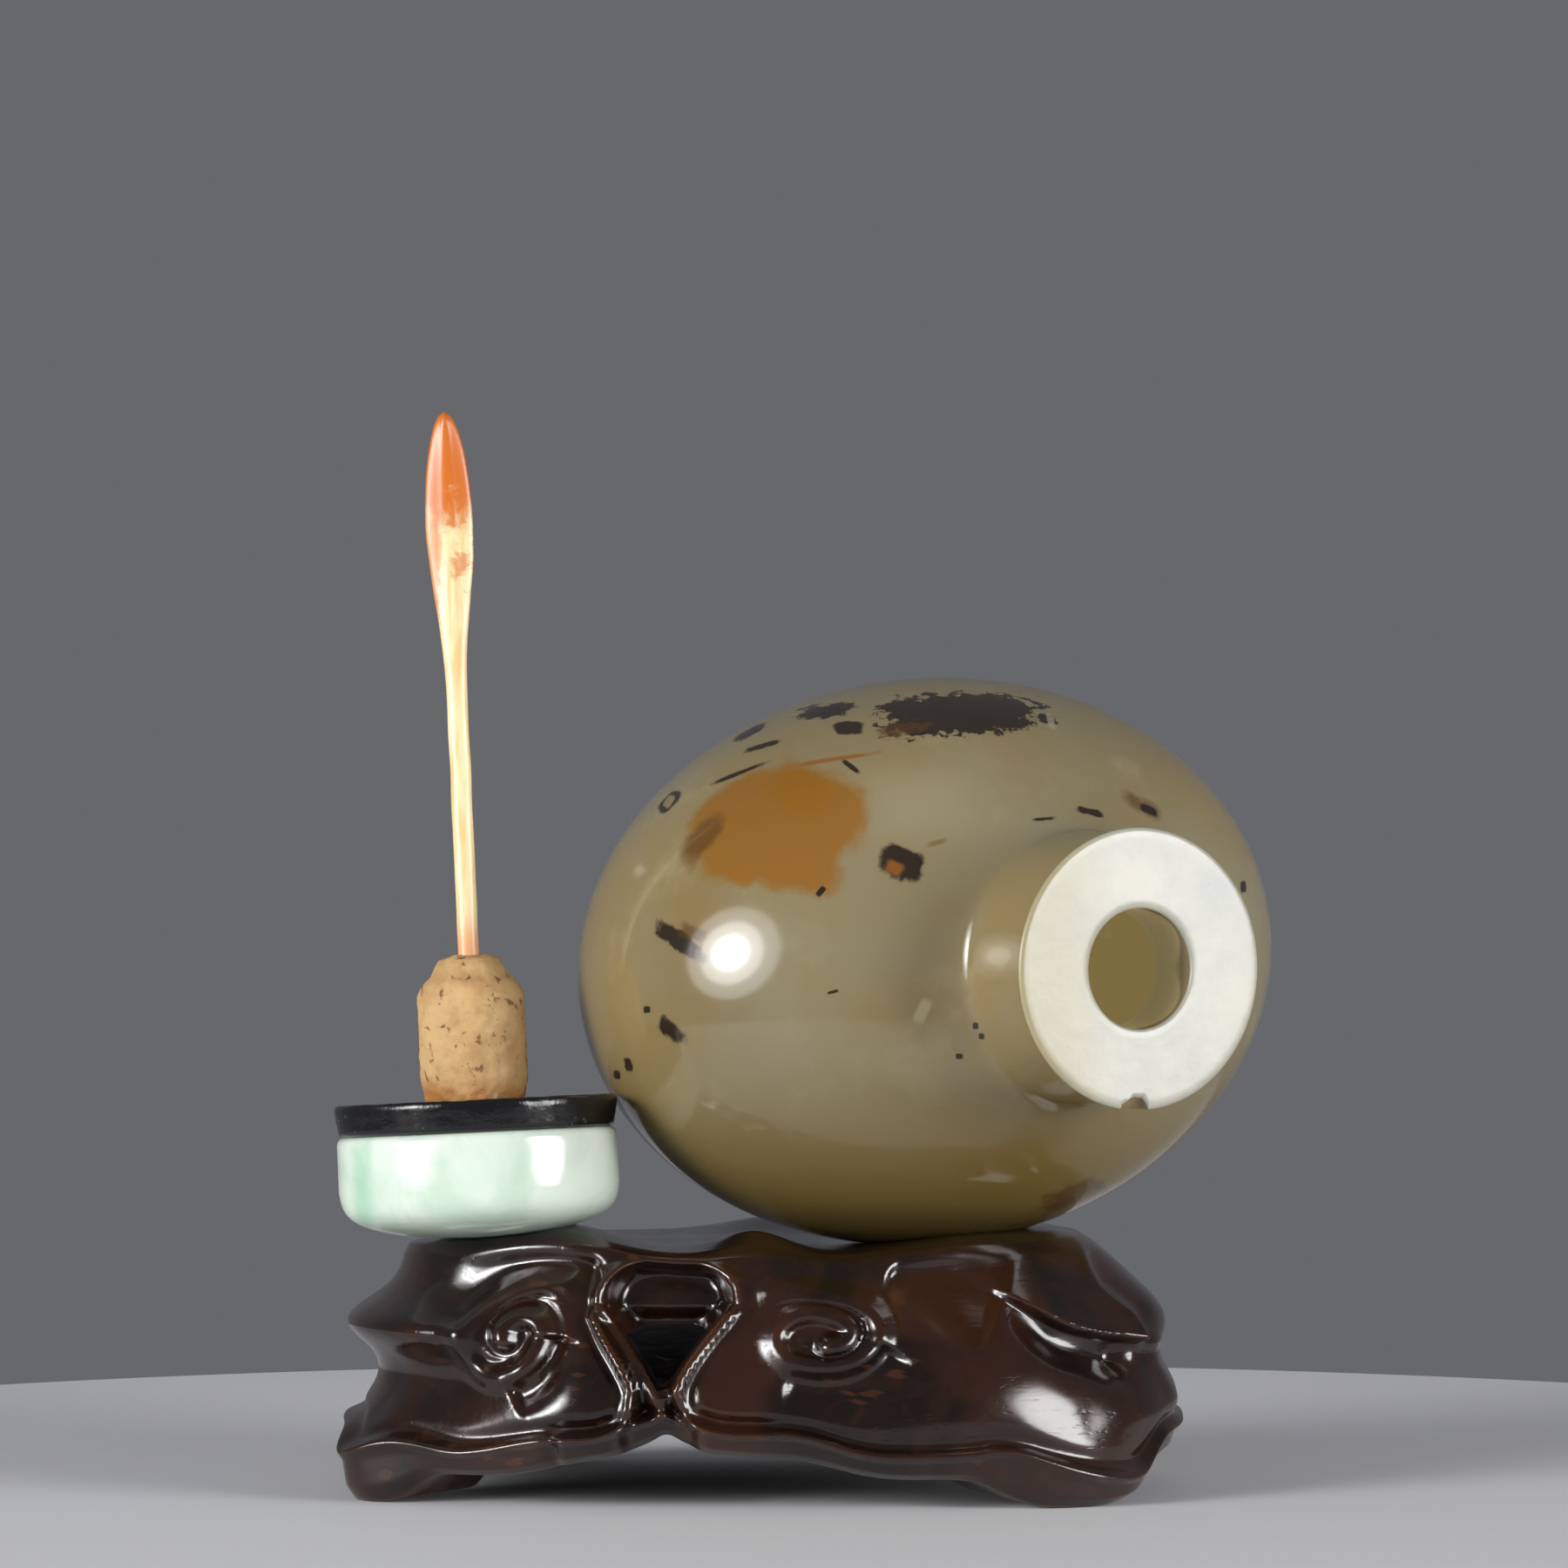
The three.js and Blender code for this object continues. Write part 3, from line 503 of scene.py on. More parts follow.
class BottleSettings(bpy.types.PropertyGroup):
    half_width: length_property(
        "Half Width", "Half the width of the body across its broad side", 0.0256, 0.01)
    half_depth: length_property("Half Thickness", "Half the thickness of the body", 0.020, 0.01)
    half_length: length_property(
        "Half Length", "Half the length of the body along its axis, without the neck", 0.0216, 0.01)
    lip_radius: length_property("Lip Radius", "Outer radius of the flat lip", 0.0096, 0.002)
    neck_radius: length_property("Neck Radius", "Radius of the neck at its waist", 0.0092, 0.002)
    mouth_radius: length_property("Mouth Radius", "Radius of the drilled mouth", 0.0041, 0.001)
    mouth_length: length_property("Mouth Depth", "Length of the straight mouth", 0.0045, 0.001)
    wall: length_property("Wall", "Thickness of the hollowed body's wall", 0.004, 0.001)
    agate_honey: colour_property("Honey", "Warm ground colour of the agate", (0.24, 0.18, 0.080))
    agate_grey: colour_property("Grey", "Cooler ground colour of the agate", (0.235, 0.205, 0.125))
    agate_olive: colour_property("Olive", "Colour of the underside", (0.165, 0.108, 0.024))
    agate_amber: colour_property("Amber", "Colour of the amber cloud", (0.25, 0.105, 0.008))
    agate_brown: colour_property("Brown", "Colour of the leaf-like shades", (0.085, 0.036, 0.010))
    agate_stain: colour_property("Stain", "Colour of the ochre cracks", (0.24, 0.09, 0.015))
    agate_dark: colour_property("Dark", "Colour of the dark inclusions", (0.016, 0.009, 0.006))
    agate_pale: colour_property("Pale", "Colour of the pale flecks", (0.42, 0.38, 0.24))
    # the lip's frosted white, with the right softbox's sheen painted into it
    lip_frost_and_sheen: colour_property("Lip White", "Frosted colour of the lip", (0.47, 0.46, 0.38))
    lip_yellow: colour_property("Lip Yellow", "Clearer, yellower side of the lip", (0.36, 0.315, 0.17))
    lip_grey: colour_property("Lip Grey", "Greyer part of the lip", (0.34, 0.35, 0.33))


class SNUFF_OT_bottle(bpy.types.Operator):
    """Build the hollow agate bottle lying on its side"""
    bl_idname = "snuff.bottle"
    bl_label = "Agate Bottle"

    def execute(self, context):
        settings = context.scene.snuff_bottle
        rows = bottle_profile(settings)
        bm = spin_profile([(width, n) for n, width, _ in rows], 168)
        n, width, depth = np.array(rows).T
        flatness = depth / np.maximum(width, 1e-6) + (width == 0)
        for vert in bm.verts:
            miss = (np.hypot(vert.co.x, vert.co.y) - width) ** 2 + (vert.co.z - n) ** 2
            vert.co.y *= flatness[miss.argmin()]
        # the axis goes from +Z to the mouth's -Y
        bmesh.ops.transform(bm, matrix=Matrix.Rotation(math.radians(90), 4, "X"), verts=bm.verts)
        bmesh.ops.transform(bm, matrix=bottle_matrix(), verts=bm.verts)
        bmesh.ops.recalc_face_normals(bm, faces=bm.faces)
        bottle = make_object("agate_bottle_body", bm, agate_material(settings))
        self.chip_lip(settings, bottle)
        declare(bottle, "agate_bottle")
        return {"FINISHED"}

    def chip_lip(self, settings, bottle):
        """Break one small flake from the lip's edge."""
        lip = settings.lip_radius / MM
        bm = bmesh.new()
        bmesh.ops.create_icosphere(bm, subdivisions=2, radius=CHIP_RADIUS)
        for vert in bm.verts:
            vert.co *= 1 + 0.22 * noise.noise(vert.co * 1.7)
        bmesh.ops.scale(bm, vec=(1.0, 0.7, 0.9), verts=bm.verts)
        place = (lip * math.cos(CHIP_TURN), -LIP_AT, lip * math.sin(CHIP_TURN))
        bmesh.ops.translate(bm, vec=place, verts=bm.verts)
        bmesh.ops.transform(bm, matrix=bottle_matrix(), verts=bm.verts)
        flake = make_object("flake", bm, bottle.data.materials[0])
        cut_away(bottle, flake)


# ------------------------------------------------------------------ stopper and spoon
CAP_OUTLINE = ((0, 0), (3.0, 0.1), (5.3, 0.35), (7.3, 0.8), (8.5, 1.3), (9.25, 1.9), (9.6, 2.6), (9.75, 3.5))
CAP_RADIUS, CAP_HEIGHT = 9.75, 7.35
COLLAR_RADIUS, COLLAR_TAPER, COLLAR_HEIGHT = 9.85, 0.25, 2.1
CORK_RADIUS, CORK_HEIGHT = 3.75, 9.9
CORK_BASE = CAP_HEIGHT + COLLAR_HEIGHT + 0.3
CORK_TOP = CORK_BASE + CORK_HEIGHT
SPOON_LENGTH, SPOON_SUNK, STEM_WIDTH, BLADE_AT = 37.9, 2.0, 1.45, 30.0


def jade_material(settings):
    material, tree, shader, place = new_material("Pale Jade")
    cloud = noise_node(tree, place, 160, detail=5, distortion=0.8)
    vein = noise_node(tree, place, 420, detail=6, roughness=0.7, distortion=1.5)
    base = mix_color(tree, map_range(tree, cloud, 0.38, 0.66),
                     settings.jade_white, settings.jade_green)
    centre = stopper_matrix() @ Vector((-7.8, -5.5, 3.4))
    band = patch(tree, place, centre, (0, 0, STAND_TURN), (0.0011, 0.006, 0.006), 0.9, 0.9, 260)
    base = mix_color(tree, arithmetic(tree, "MULTIPLY", band, 0.75), base, settings.jade_band)
    fine = map_range(tree, vein, 0.6, 0.8, 0, 0.25)
    base = mix_color(tree, fine, base, (0.82, 0.86, 0.76))
    tree.links.new(base, shader.inputs["Base Color"])
    shader.inputs["Roughness"].default_value = 0.16
    shader.inputs["IOR"].default_value = 1.6
    shader.inputs["Subsurface Weight"].default_value = 0.6
    shader.inputs["Subsurface Radius"].default_value = (0.9, 1.0, 0.8)
    shader.inputs["Subsurface Scale"].default_value = 0.0025
    bump(tree, vein, 0.04, 0.0002, shader)
    return material


def collar_material(settings):
    material, tree, shader, place = new_material("Black Collar")
    dust = noise_node(tree, place, 2600, detail=3)
    smear = noise_node(tree, place, 380, detail=5, roughness=0.65)
    specks = arithmetic(tree, "MULTIPLY",
                        map_range(tree, dust, 0.66, 0.74),
                        map_range(tree, smear, 0.5, 0.7))
    tree.links.new(mix_color(tree, specks, settings.collar_black, (0.35, 0.33, 0.3)),
              shader.inputs["Base Color"])
    tree.links.new(map_range(tree, smear, 0.4, 0.7, 0.12, 0.3), shader.inputs["Roughness"])
    bump(tree, smear, 0.25, 0.0004, shader)
    return material


def cork_material(settings):
    material, tree, shader, place = new_material("Whittled Cork")
    tone = noise_node(tree, place, 420, detail=6, roughness=0.65)
    pits = noise_node(tree, place, 1150, detail=3, roughness=0.5, distortion=0.4)
    base = mix_color(tree, map_range(tree, tone, 0.35, 0.7),
                     settings.cork_light, settings.cork_brown)
    pit = map_range(tree, pits, 0.62, 0.70)
    base = mix_color(tree, arithmetic(tree, "MULTIPLY", pit, 0.85), base, settings.cork_pit)
    split = tree.nodes.new("ShaderNodeSeparateXYZ")
    tree.links.new(place, split.inputs[0])
    foot_z = (stopper_matrix() @ Vector((0, 0, CORK_BASE))).z
    foot = map_range(tree, split.outputs["Z"], foot_z + 0.0016, foot_z + 0.0002)
    foot = arithmetic(tree, "MULTIPLY", foot, map_range(tree, tone, 0.3, 0.55))
    base = mix_color(tree, foot, base, settings.cork_stain)
    tree.links.new(base, shader.inputs["Base Color"])
    shader.inputs["Roughness"].default_value = 0.78
    rise = arithmetic(tree, "SUBTRACT", tone, pit)
    bump(tree, rise, 0.5, 0.0004, shader)
    return material


def bone_material(settings):
    material, tree, shader, place = new_material("Stained Bone")
    split = tree.nodes.new("ShaderNodeSeparateXYZ")
    tree.links.new(place, split.inputs[0])
    long_grain = tree.nodes.new("ShaderNodeMapping")
    long_grain.inputs["Scale"].default_value = (1, 1, 0.12)
    tree.links.new(place, long_grain.inputs["Vector"])
    grain = noise_node(tree, long_grain.outputs["Vector"], 1500, detail=4)
    blot = noise_node(tree, place, 420, detail=5, roughness=0.65, distortion=0.7)
    base = mix_color(tree, map_range(tree, grain, 0.4, 0.7),
                     settings.bone_light, settings.bone_shade)
    low = (stopper_matrix() @ Vector((0, 0, CORK_TOP))).z
    high = (stopper_matrix() @ Vector((0, 0, CORK_TOP + SPOON_LENGTH))).z
    tip = map_range(tree, split.outputs["Z"], low + 0.7 * (high - low), high - 0.003, -0.35, 1.1,
                    smooth=False)
    tip = arithmetic(tree, "ADD", tip, arithmetic(tree, "MULTIPLY", blot, 1.3))
    tip = map_range(tree, tip, 0.75, 1.35)
    base = mix_color(tree, tip, base, settings.bone_stain)
    spots = map_range(tree, blot, 0.56, 0.68, 0, 0.7)
    blade = map_range(tree, split.outputs["Z"], low + 0.018, low + 0.026)
    base = mix_color(tree, arithmetic(tree, "MULTIPLY", spots, blade), base, settings.bone_stain)
    side = stopper_matrix() @ Vector((-1.5, -0.5, CORK_TOP + 27))
    side = patch(tree, place, side, (0, 0, STAND_TURN), (0.0010, 0.003, 0.0075), 0.5, 1.3, 700)
    base = mix_color(tree, arithmetic(tree, "MULTIPLY", side, 0.75), base, settings.bone_stain)
    foot = map_range(tree, split.outputs["Z"], low + 0.0035, low + 0.0005, 0, 0.7)
    base = mix_color(tree, foot, base, (0.75, 0.30, 0.14))
    tree.links.new(base, shader.inputs["Base Color"])
    shader.inputs["Roughness"].default_value = 0.32
    bump(tree, grain, 0.1, 0.0001, shader)
    return material


class StopperSettings(bpy.types.PropertyGroup):
    jade_white: colour_property("Jade White", "Palest colour of the cap", (0.68, 0.76, 0.67))
    jade_green: colour_property("Jade Green", "Greener clouds of the cap", (0.54, 0.66, 0.55))
    jade_band: colour_property("Jade Band", "Green band near the cap's left side", (0.33, 0.56, 0.40))
    collar_black: colour_property("Collar", "Colour of the collar", (0.006, 0.006, 0.007))
    cork_light: colour_property("Cork", "Light colour of the cork", (0.56, 0.36, 0.16))
    cork_brown: colour_property("Cork Shade", "Darker colour of the cork", (0.42, 0.235, 0.09))
    cork_pit: colour_property("Cork Pits", "Colour of the cork's pits", (0.16, 0.07, 0.025))
    cork_stain: colour_property("Cork Foot", "Orange-brown stain at the cork's foot", (0.36, 0.15, 0.035))
    bone_light: colour_property("Bone", "Light colour of the spoon", (0.88, 0.71, 0.41))
    bone_shade: colour_property("Bone Shade", "Darker grain of the spoon", (0.76, 0.52, 0.22))
    bone_stain: colour_property("Bone Stain", "Orange stain at the spoon's tip", (0.60, 0.15, 0.018))
    spoon_length: length_property("Spoon Length", "Length of the spoon above the cork", 0.0379, 0.01)
    blade_width: length_property("Blade Width", "Widest part of the spoon's blade", 0.0033, 0.001)


class SNUFF_OT_stopper(bpy.types.Operator):
    """Build the jade cap, black collar and cork"""
    bl_idname = "snuff.stopper"
    bl_label = "Stopper"

    def execute(self, context):
        settings = context.scene.snuff_stopper
        # domed jade cap with a faint facet round its lower edge
        outline = soften_line(CAP_OUTLINE)
        outline += [(CAP_RADIUS, CAP_HEIGHT - 3 + 0.5 * i) for i in range(1, 5)]
        outline += [(CAP_RADIUS, CAP_HEIGHT - 0.55), (CAP_RADIUS - 0.06, CAP_HEIGHT - 0.3),
                    (CAP_RADIUS - 0.22, CAP_HEIGHT - 0.1), (CAP_RADIUS - 0.5, CAP_HEIGHT),
                    (CAP_RADIUS - 3, CAP_HEIGHT), (0, CAP_HEIGHT)]
        bm = spin_profile(outline, 128)
        for vert in bm.verts:
            vert.co.xy *= 1 + 0.004 * noise.noise(vert.co * 0.25)
        bmesh.ops.transform(bm, matrix=stopper_matrix(), verts=bm.verts)
        declare(make_object("jade_cap", bm, jade_material(settings)), "stopper_cap")
        # collar, slightly uneven, sitting right on the cap
        base, top = CAP_HEIGHT, CAP_HEIGHT + 0.15 + COLLAR_HEIGHT
        low_radius = COLLAR_RADIUS - COLLAR_TAPER
        outline = [(0, base), (low_radius - 1, base), (low_radius - 0.3, base + 0.02),
                   (low_radius - 0.1, base + 0.1), (low_radius, base + 0.28)]
        outline += [(low_radius + COLLAR_TAPER * i / 6, base + 0.28 + (COLLAR_HEIGHT - 0.6) * i / 6)
                    for i in range(1, 7)]
        outline += [(COLLAR_RADIUS - 0.02, top - 0.2), (COLLAR_RADIUS - 0.1, top - 0.06),
                    (COLLAR_RADIUS - 0.3, top), (COLLAR_RADIUS - 2, top - 0.03),
                    (CORK_RADIUS, top - 0.02), (0, top)]
        bm = spin_profile(outline, 144)
        for vert in bm.verts:
            wobble = noise.noise(vert.co * 0.8)
            vert.co.xy *= 1 - 0.008 * abs(wobble)
            if vert.co.z > top - 0.4:
                vert.co.z -= 0.1 * abs(noise.noise(vert.co * 1.3))
        bmesh.ops.transform(bm, matrix=stopper_matrix(), verts=bm.verts)
        declare(make_object("black_collar", bm, collar_material(settings)), "stopper_collar")
        self.cork(settings, top)
        return {"FINISHED"}

    def cork(self, settings, base):
        top = CORK_TOP
        outline = [(0, base - 0.05), (CORK_RADIUS - 0.3, base - 0.05)]
        outline += [(CORK_RADIUS - 0.25 + 0.25 * min(1, i / 5), base + 0.3 * i) for i in range(25)]
        high = outline[-1][1]
        outline += [(CORK_RADIUS - 0.1, high + 0.25), (CORK_RADIUS - 0.4, high + 0.8),
                    (CORK_RADIUS - 0.95, high + 1.3), (CORK_RADIUS - 1.6, top - 0.35),
                    (CORK_RADIUS - 2.3, top - 0.08), (CORK_RADIUS - 3.0, top), (0, top)]
        bm = spin_profile(outline, 72)
        bmesh.ops.subdivide_edges(bm, edges=bm.edges, cuts=1, use_grid_fill=True)
        for vert in bm.verts:
            around = math.atan2(vert.co.y, vert.co.x)
            facets = 0.012 * abs(math.sin(around * 4.5 + 0.4))
            grit = noise.noise(vert.co * 1.4) * 0.018 + noise.noise(vert.co * 4.5) * 0.010
            foot = max(0, 1 - (vert.co.z - base) / 1.3)
            ragged = foot * 0.10 * abs(noise.noise(vert.co * 1.1 + Vector((3, 1, 0))))
            vert.co.xy *= 1 - facets + grit - ragged
            if vert.co.z > high:
                vert.co.z += 0.16 * noise.noise(vert.co * 1.2)
        bmesh.ops.transform(bm, matrix=stopper_matrix(), verts=bm.verts)
        declare(make_object("whittled_cork", bm, cork_material(settings)), "stopper_cork")


class SNUFF_OT_spoon(bpy.types.Operator):
    """Build the bone spoon that stands in the cork"""
    bl_idname = "snuff.spoon"
    bl_label = "Spoon"

    def half_width(self, settings, s):
        length = settings.spoon_length / MM
        blade = float(ramp(s, 16, BLADE_AT))
        growth = settings.blade_width / MM - STEM_WIDTH
        width = STEM_WIDTH + growth * blade * blade * (1.6 - 0.6 * blade)
        left = max(0, (s - BLADE_AT) / (length - BLADE_AT))
        return width / 2 * math.sqrt(max(0, 1 - left ** 1.9))

    def execute(self, context):
        settings = context.scene.snuff_stopper
        length = settings.spoon_length / MM
        bm = bmesh.new()
        ring = bmesh.ops.create_circle(bm, cap_ends=True, segments=20, radius=1.0)["verts"]
        edges = list({edge for vert in ring for edge in vert.link_edges})
        steps = 110
        for vert in ring:
            vert.co.z = -SPOON_SUNK
        for i in range(1, steps + 1):
            made = bmesh.ops.extrude_edge_only(bm, edges=edges)["geom"]
            edges = [item for item in made if isinstance(item, bmesh.types.BMEdge)]
            for vert in {v for edge in edges for v in edge.verts}:
                vert.co.z = -SPOON_SUNK + (length + SPOON_SUNK) * (i / steps) ** 0.93
        bmesh.ops.edgeloop_fill(bm, edges=edges)
        for vert in bm.verts:
            s = max(0.0, vert.co.z)
            half = max(self.half_width(settings, min(s, length - 0.02)), 0.12)
            thick = min(half, 0.56 - 0.14 * s / length)
            x, y = vert.co.x, vert.co.y
            blade = float(ramp(s, 20, 27))
            ridge = blade * 0.14 * math.exp(-(x / 0.22) ** 2) * (1 if y < 0 else 0)
            vert.co.x = x * half + 0.05 * noise.noise(Vector((1, 2, s * 0.35)))
            vert.co.y = y * (thick * (1 - 0.35 * blade * abs(x)) + ridge)
        bmesh.ops.recalc_face_normals(bm, faces=bm.faces)
        bmesh.ops.translate(bm, vec=(0, 0, CORK_TOP), verts=bm.verts)
        bmesh.ops.transform(bm, matrix=stopper_matrix(), verts=bm.verts)
        declare(make_object("bone_spoon", bm, bone_material(settings)), "snuff_spoon")
        return {"FINISHED"}


# ------------------------------------------------------------------ carved stand
# Lines of the front carving, x and z in the stand's millimetres, seen square on.
LOOP_RIM = (
    (-8.4, 7.3), (-9.3, 8.5), (-10.6, 10.2), (-11.8, 12.0), (-12.4, 13.8), (-12.0, 15.3), (-10.8, 16.3),
    (-9.0, 16.8), (-6.5, 16.9), (-4.6, 16.4), (-3.5, 15.4), (-3.5, 14.2), (-4.4, 13.0), (-5.6, 11.7),
    (-6.8, 10.0), (-7.7, 8.5), (-8.4, 7.3))
LEFT_SCROLL = (
    (-13.1, 15.4), (-15.6, 15.7), (-17.9, 15.3), (-19.9, 14.1), (-21.3, 12.6), (-21.7, 11.1), (-21.4, 9.8),
    (-20.6, 9.0), (-19.3, 8.8), (-17.9, 9.3), (-16.9, 10.3), (-16.3, 11.6), (-16.6, 12.9), (-17.8, 13.3),
    (-18.9, 12.6), (-18.9, 11.6))
RIGHT_SCROLL = (
    (-3.0, 15.0), (-0.4, 15.0), (3.0, 14.8), (5.6, 14.0), (6.8, 12.3), (5.7, 10.4), (3.0, 9.6), (0.4, 9.9),
    (-0.8, 11.5), (-0.2, 13.0), (1.6, 13.7), (3.6, 13.4), (4.7, 12.5), (4.3, 11.4), (3.0, 11.2))
LEFT_LOBE = (
    (-15.0, 4.8), (-12.4, 4.9), (-11.2, 5.7), (-10.5, 6.9), (-10.4, 8.3), (-11.2, 10.1), (-12.2, 11.7),
    (-13.0, 13.2))
RIGHT_LOBE = (
    (-1.5, 5.1), (-4.0, 5.2), (-5.7, 5.7), (-6.8, 6.7), (-7.2, 8.0), (-7.1, 9.1), (-6.2, 11.0), (-4.0, 13.4))
LEAF_SIDE = ((20.7, 17.4), (21.0, 15.9), (21.6, 14.9), (22.4, 13.9), (23.4, 12.9), (24.0, 12.0), (24.1, 11.1))
END_RIDGE = ((25.2, 14.6), (25.8, 11.1), (26.4, 8.0), (27.0, 5.0))
LEFT_CHANNEL = ((-12.3, 16.4), (-16.0, 16.9), (-19.5, 16.2), (-22.0, 14.4), (-22.8, 12.6))
RIGHT_VALLEY = ((7.5, 17.4), (11.7, 15.6), (15.0, 14.2))
SCROLL_SHADOW = ((0.0, 9.0), (3.1, 8.2), (6.2, 9.0), (7.6, 11.2))
LEFT_GROOVE = ((-15.4, 12.0), (-15.7, 10.2), (-16.6, 8.4), (-18.4, 7.5))
CREASE_LINE = (
    (-30.9, 1.4), (-28.4, 3.6), (-26.6, 4.3), (-24.6, 4.1), (-22.4, 3.6), (-20.4, 3.8), (-18.2, 4.3),
    (-16.0, 4.7), (-12.3, 4.9), (-8.4, 6.4), (-4.4, 5.2), (-1.0, 5.2), (1.6, 5.0), (3.6, 4.3), (5.2, 3.8),
    (7.6, 3.5), (12.5, 3.6), (14.2, 3.9), (15.8, 3.7), (17.6, 3.0), (19.2, 2.4), (21.0, 1.9), (23.0, 1.6),
    (25.0, 1.9), (27.0, 4.4))
LOWER_LINE = (
    (-29.0, 0.0), (-27.6, 0.2), (-25.7, 1.7), (-24.4, 2.2), (-20.6, 2.2), (-18.0, 2.5), (-14.8, 3.3),
    (-11.2, 3.9), (-9.4, 4.6), (-8.3, 5.3), (-7.2, 4.6), (-5.6, 4.0), (-2.4, 3.7), (1.0, 3.5), (3.4, 3.0),
    (5.7, 2.4), (8.2, 2.1), (12.5, 2.1), (14.2, 1.8), (15.8, 1.0), (17.5, 0.3), (19.1, 0.0), (24.0, 0.0),
    (27.0, 1.2))
LEAF_LINE = ((13.0, 15.6), (15.0, 14.4), (17.5, 13.0), (19.1, 12.1), (20.8, 11.6), (22.4, 11.3), (24.2, 11.0))
LOOP_X, LOOP_LOW, LOOP_WIDE, LOOP_HIGH, LOOP_HALF = -7.9, 7.4, 14.0, 17.3, 5.0
# Heights, and the x of each border there: the two lobes beside the loop, and the leaf's right side.
LOBE_LEFT = ((4.9, 5.7, 6.8, 8.3, 10.1, 11.6, 13.4), (-12.0, -11.0, -10.4, -10.3, -11.1, -12.1, -13.3))
LOBE_RIGHT = ((5.2, 5.7, 6.7, 8.0, 9.1, 11.0, 13.4), (-4.6, -5.8, -6.9, -7.3, -7.2, -6.4, -4.0))
LEAF_RIGHT = ((11.0, 12.9, 14.9, 17.4), (24.3, 23.4, 21.6, 20.7))
# Corners of the opening cut through the loop, x and z.
LOOP_HOLE = ((-10.9, 11.9), (-9.4, 12.4), (-6.4, 12.5), (-5.2, 12.2), (-8.0, 8.4), (-8.6, 8.2))
# Shares of the way from the top's middle down to the hollow's ceiling, where each part of the surface ends.
TOP_END, SIDE_END, EDGE_END, HOLLOW_END = 0.12, 0.80, 0.88, 0.96
# How far the columns of faces are drawn to the two ends.
COLUMN_SHIFT = 0.34


def line_at(line, x):
    points = np.array(soften_line(line))
    return np.interp(x, points[:, 0], points[:, 1])


def distance_to(line, x, z):
    """Distance from each x, z to a smoothed line, and how far along the line it is, from 0 to 1."""
    points = np.array(soften_line(line))
    best = np.full(x.shape, 1e9)
    along = np.zeros(x.shape)
    lengths = np.hypot(*(points[1:] - points[:-1]).T)
    total, walked = lengths.sum(), 0.0
    for a, b, length in zip(points, points[1:], lengths):
        t = np.clip(((x - a[0]) * (b[0] - a[0]) + (z - a[1]) * (b[1] - a[1])) / length ** 2, 0, 1)
        gap = np.hypot(x - a[0] - t * (b[0] - a[0]), z - a[1] - t * (b[1] - a[1]))
        closer = gap < best
        best = np.where(closer, gap, best)
        along = np.where(closer, (walked + t * length) / total, along)
        walked += length
    return best, along


def plan_point(angle, box, share=0.0, flare=FLARE):
    left, right = box["left"] - flare["left"] * share, box["right"] + flare["right"] * share
    front, back = box["front"] - flare["front"] * share, box["back"] + flare["back"] * share
    c, s = np.cos(angle), np.sin(angle)
    x = (left + right) / 2 + (right - left) / 2 * np.sign(c) * np.abs(c) ** PLAN_ROUNDNESS
    y = (front + back) / 2 + (back - front) / 2 * np.sign(s) * np.abs(s) ** PLAN_ROUNDNESS
    return x, y


def top_height(x, y):
    z = TOP_HEIGHT - 0.35 + 1.55 * bell(x + 15.2, 3.8) * bell(y + 9.5, 7)
    z = z + 0.75 * bell(x + 22, 5) * bell(y + 8, 10)
    z += 1.45 * bell(x + 2.2, 2.3) * bell(y + 10.5, 3.6) + 1.1 * bell(x + 0.5, 3.4) * bell(y - 13, 4)
    return z + 1.05 * ramp(x, 3, 14)


def lower_edge(x, y):
    front = np.where(y < 0, 1, 0.35)
    z = APRON_REST + 1.3 * bell(x + 4, 8.5) * front + 1.5 * bell(x - LOOP_X + 0.4, 1.3) * front
    z = z + 0.7 * bell(y, 6)
    for foot_x, foot_y, spread in FEET:
        z = z - 3.4 * bell(np.hypot(x - foot_x, y - foot_y), spread)
    z = np.maximum(0, z)
    seen = ramp(-y, 9, 15)
    return z * (1 - seen) + line_at(LOWER_LINE, x) * seen


def crease_height(x, y):
    low = lower_edge(x, y)
    z = low + BOARD + 0.5 * bell(x - LOOP_X, 1.6) + 1.3 * bell(np.hypot(x + 28.5, y + 12), 3.5)
    seen = ramp(-y, 9, 15)
    return z * (1 - seen) + np.maximum(line_at(CREASE_LINE, x), low + 1.2) * seen


def loop_half_width(z):
    upper = LOOP_HALF * np.sqrt(np.maximum(0, 1 - ((z - LOOP_WIDE) / (LOOP_HIGH - LOOP_WIDE)) ** 2))
    lower = LOOP_HALF * np.clip((z - LOOP_LOW) / (LOOP_WIDE - LOOP_LOW), 0, 9) ** 1.15
    return np.where(z > LOOP_WIDE, upper, lower)


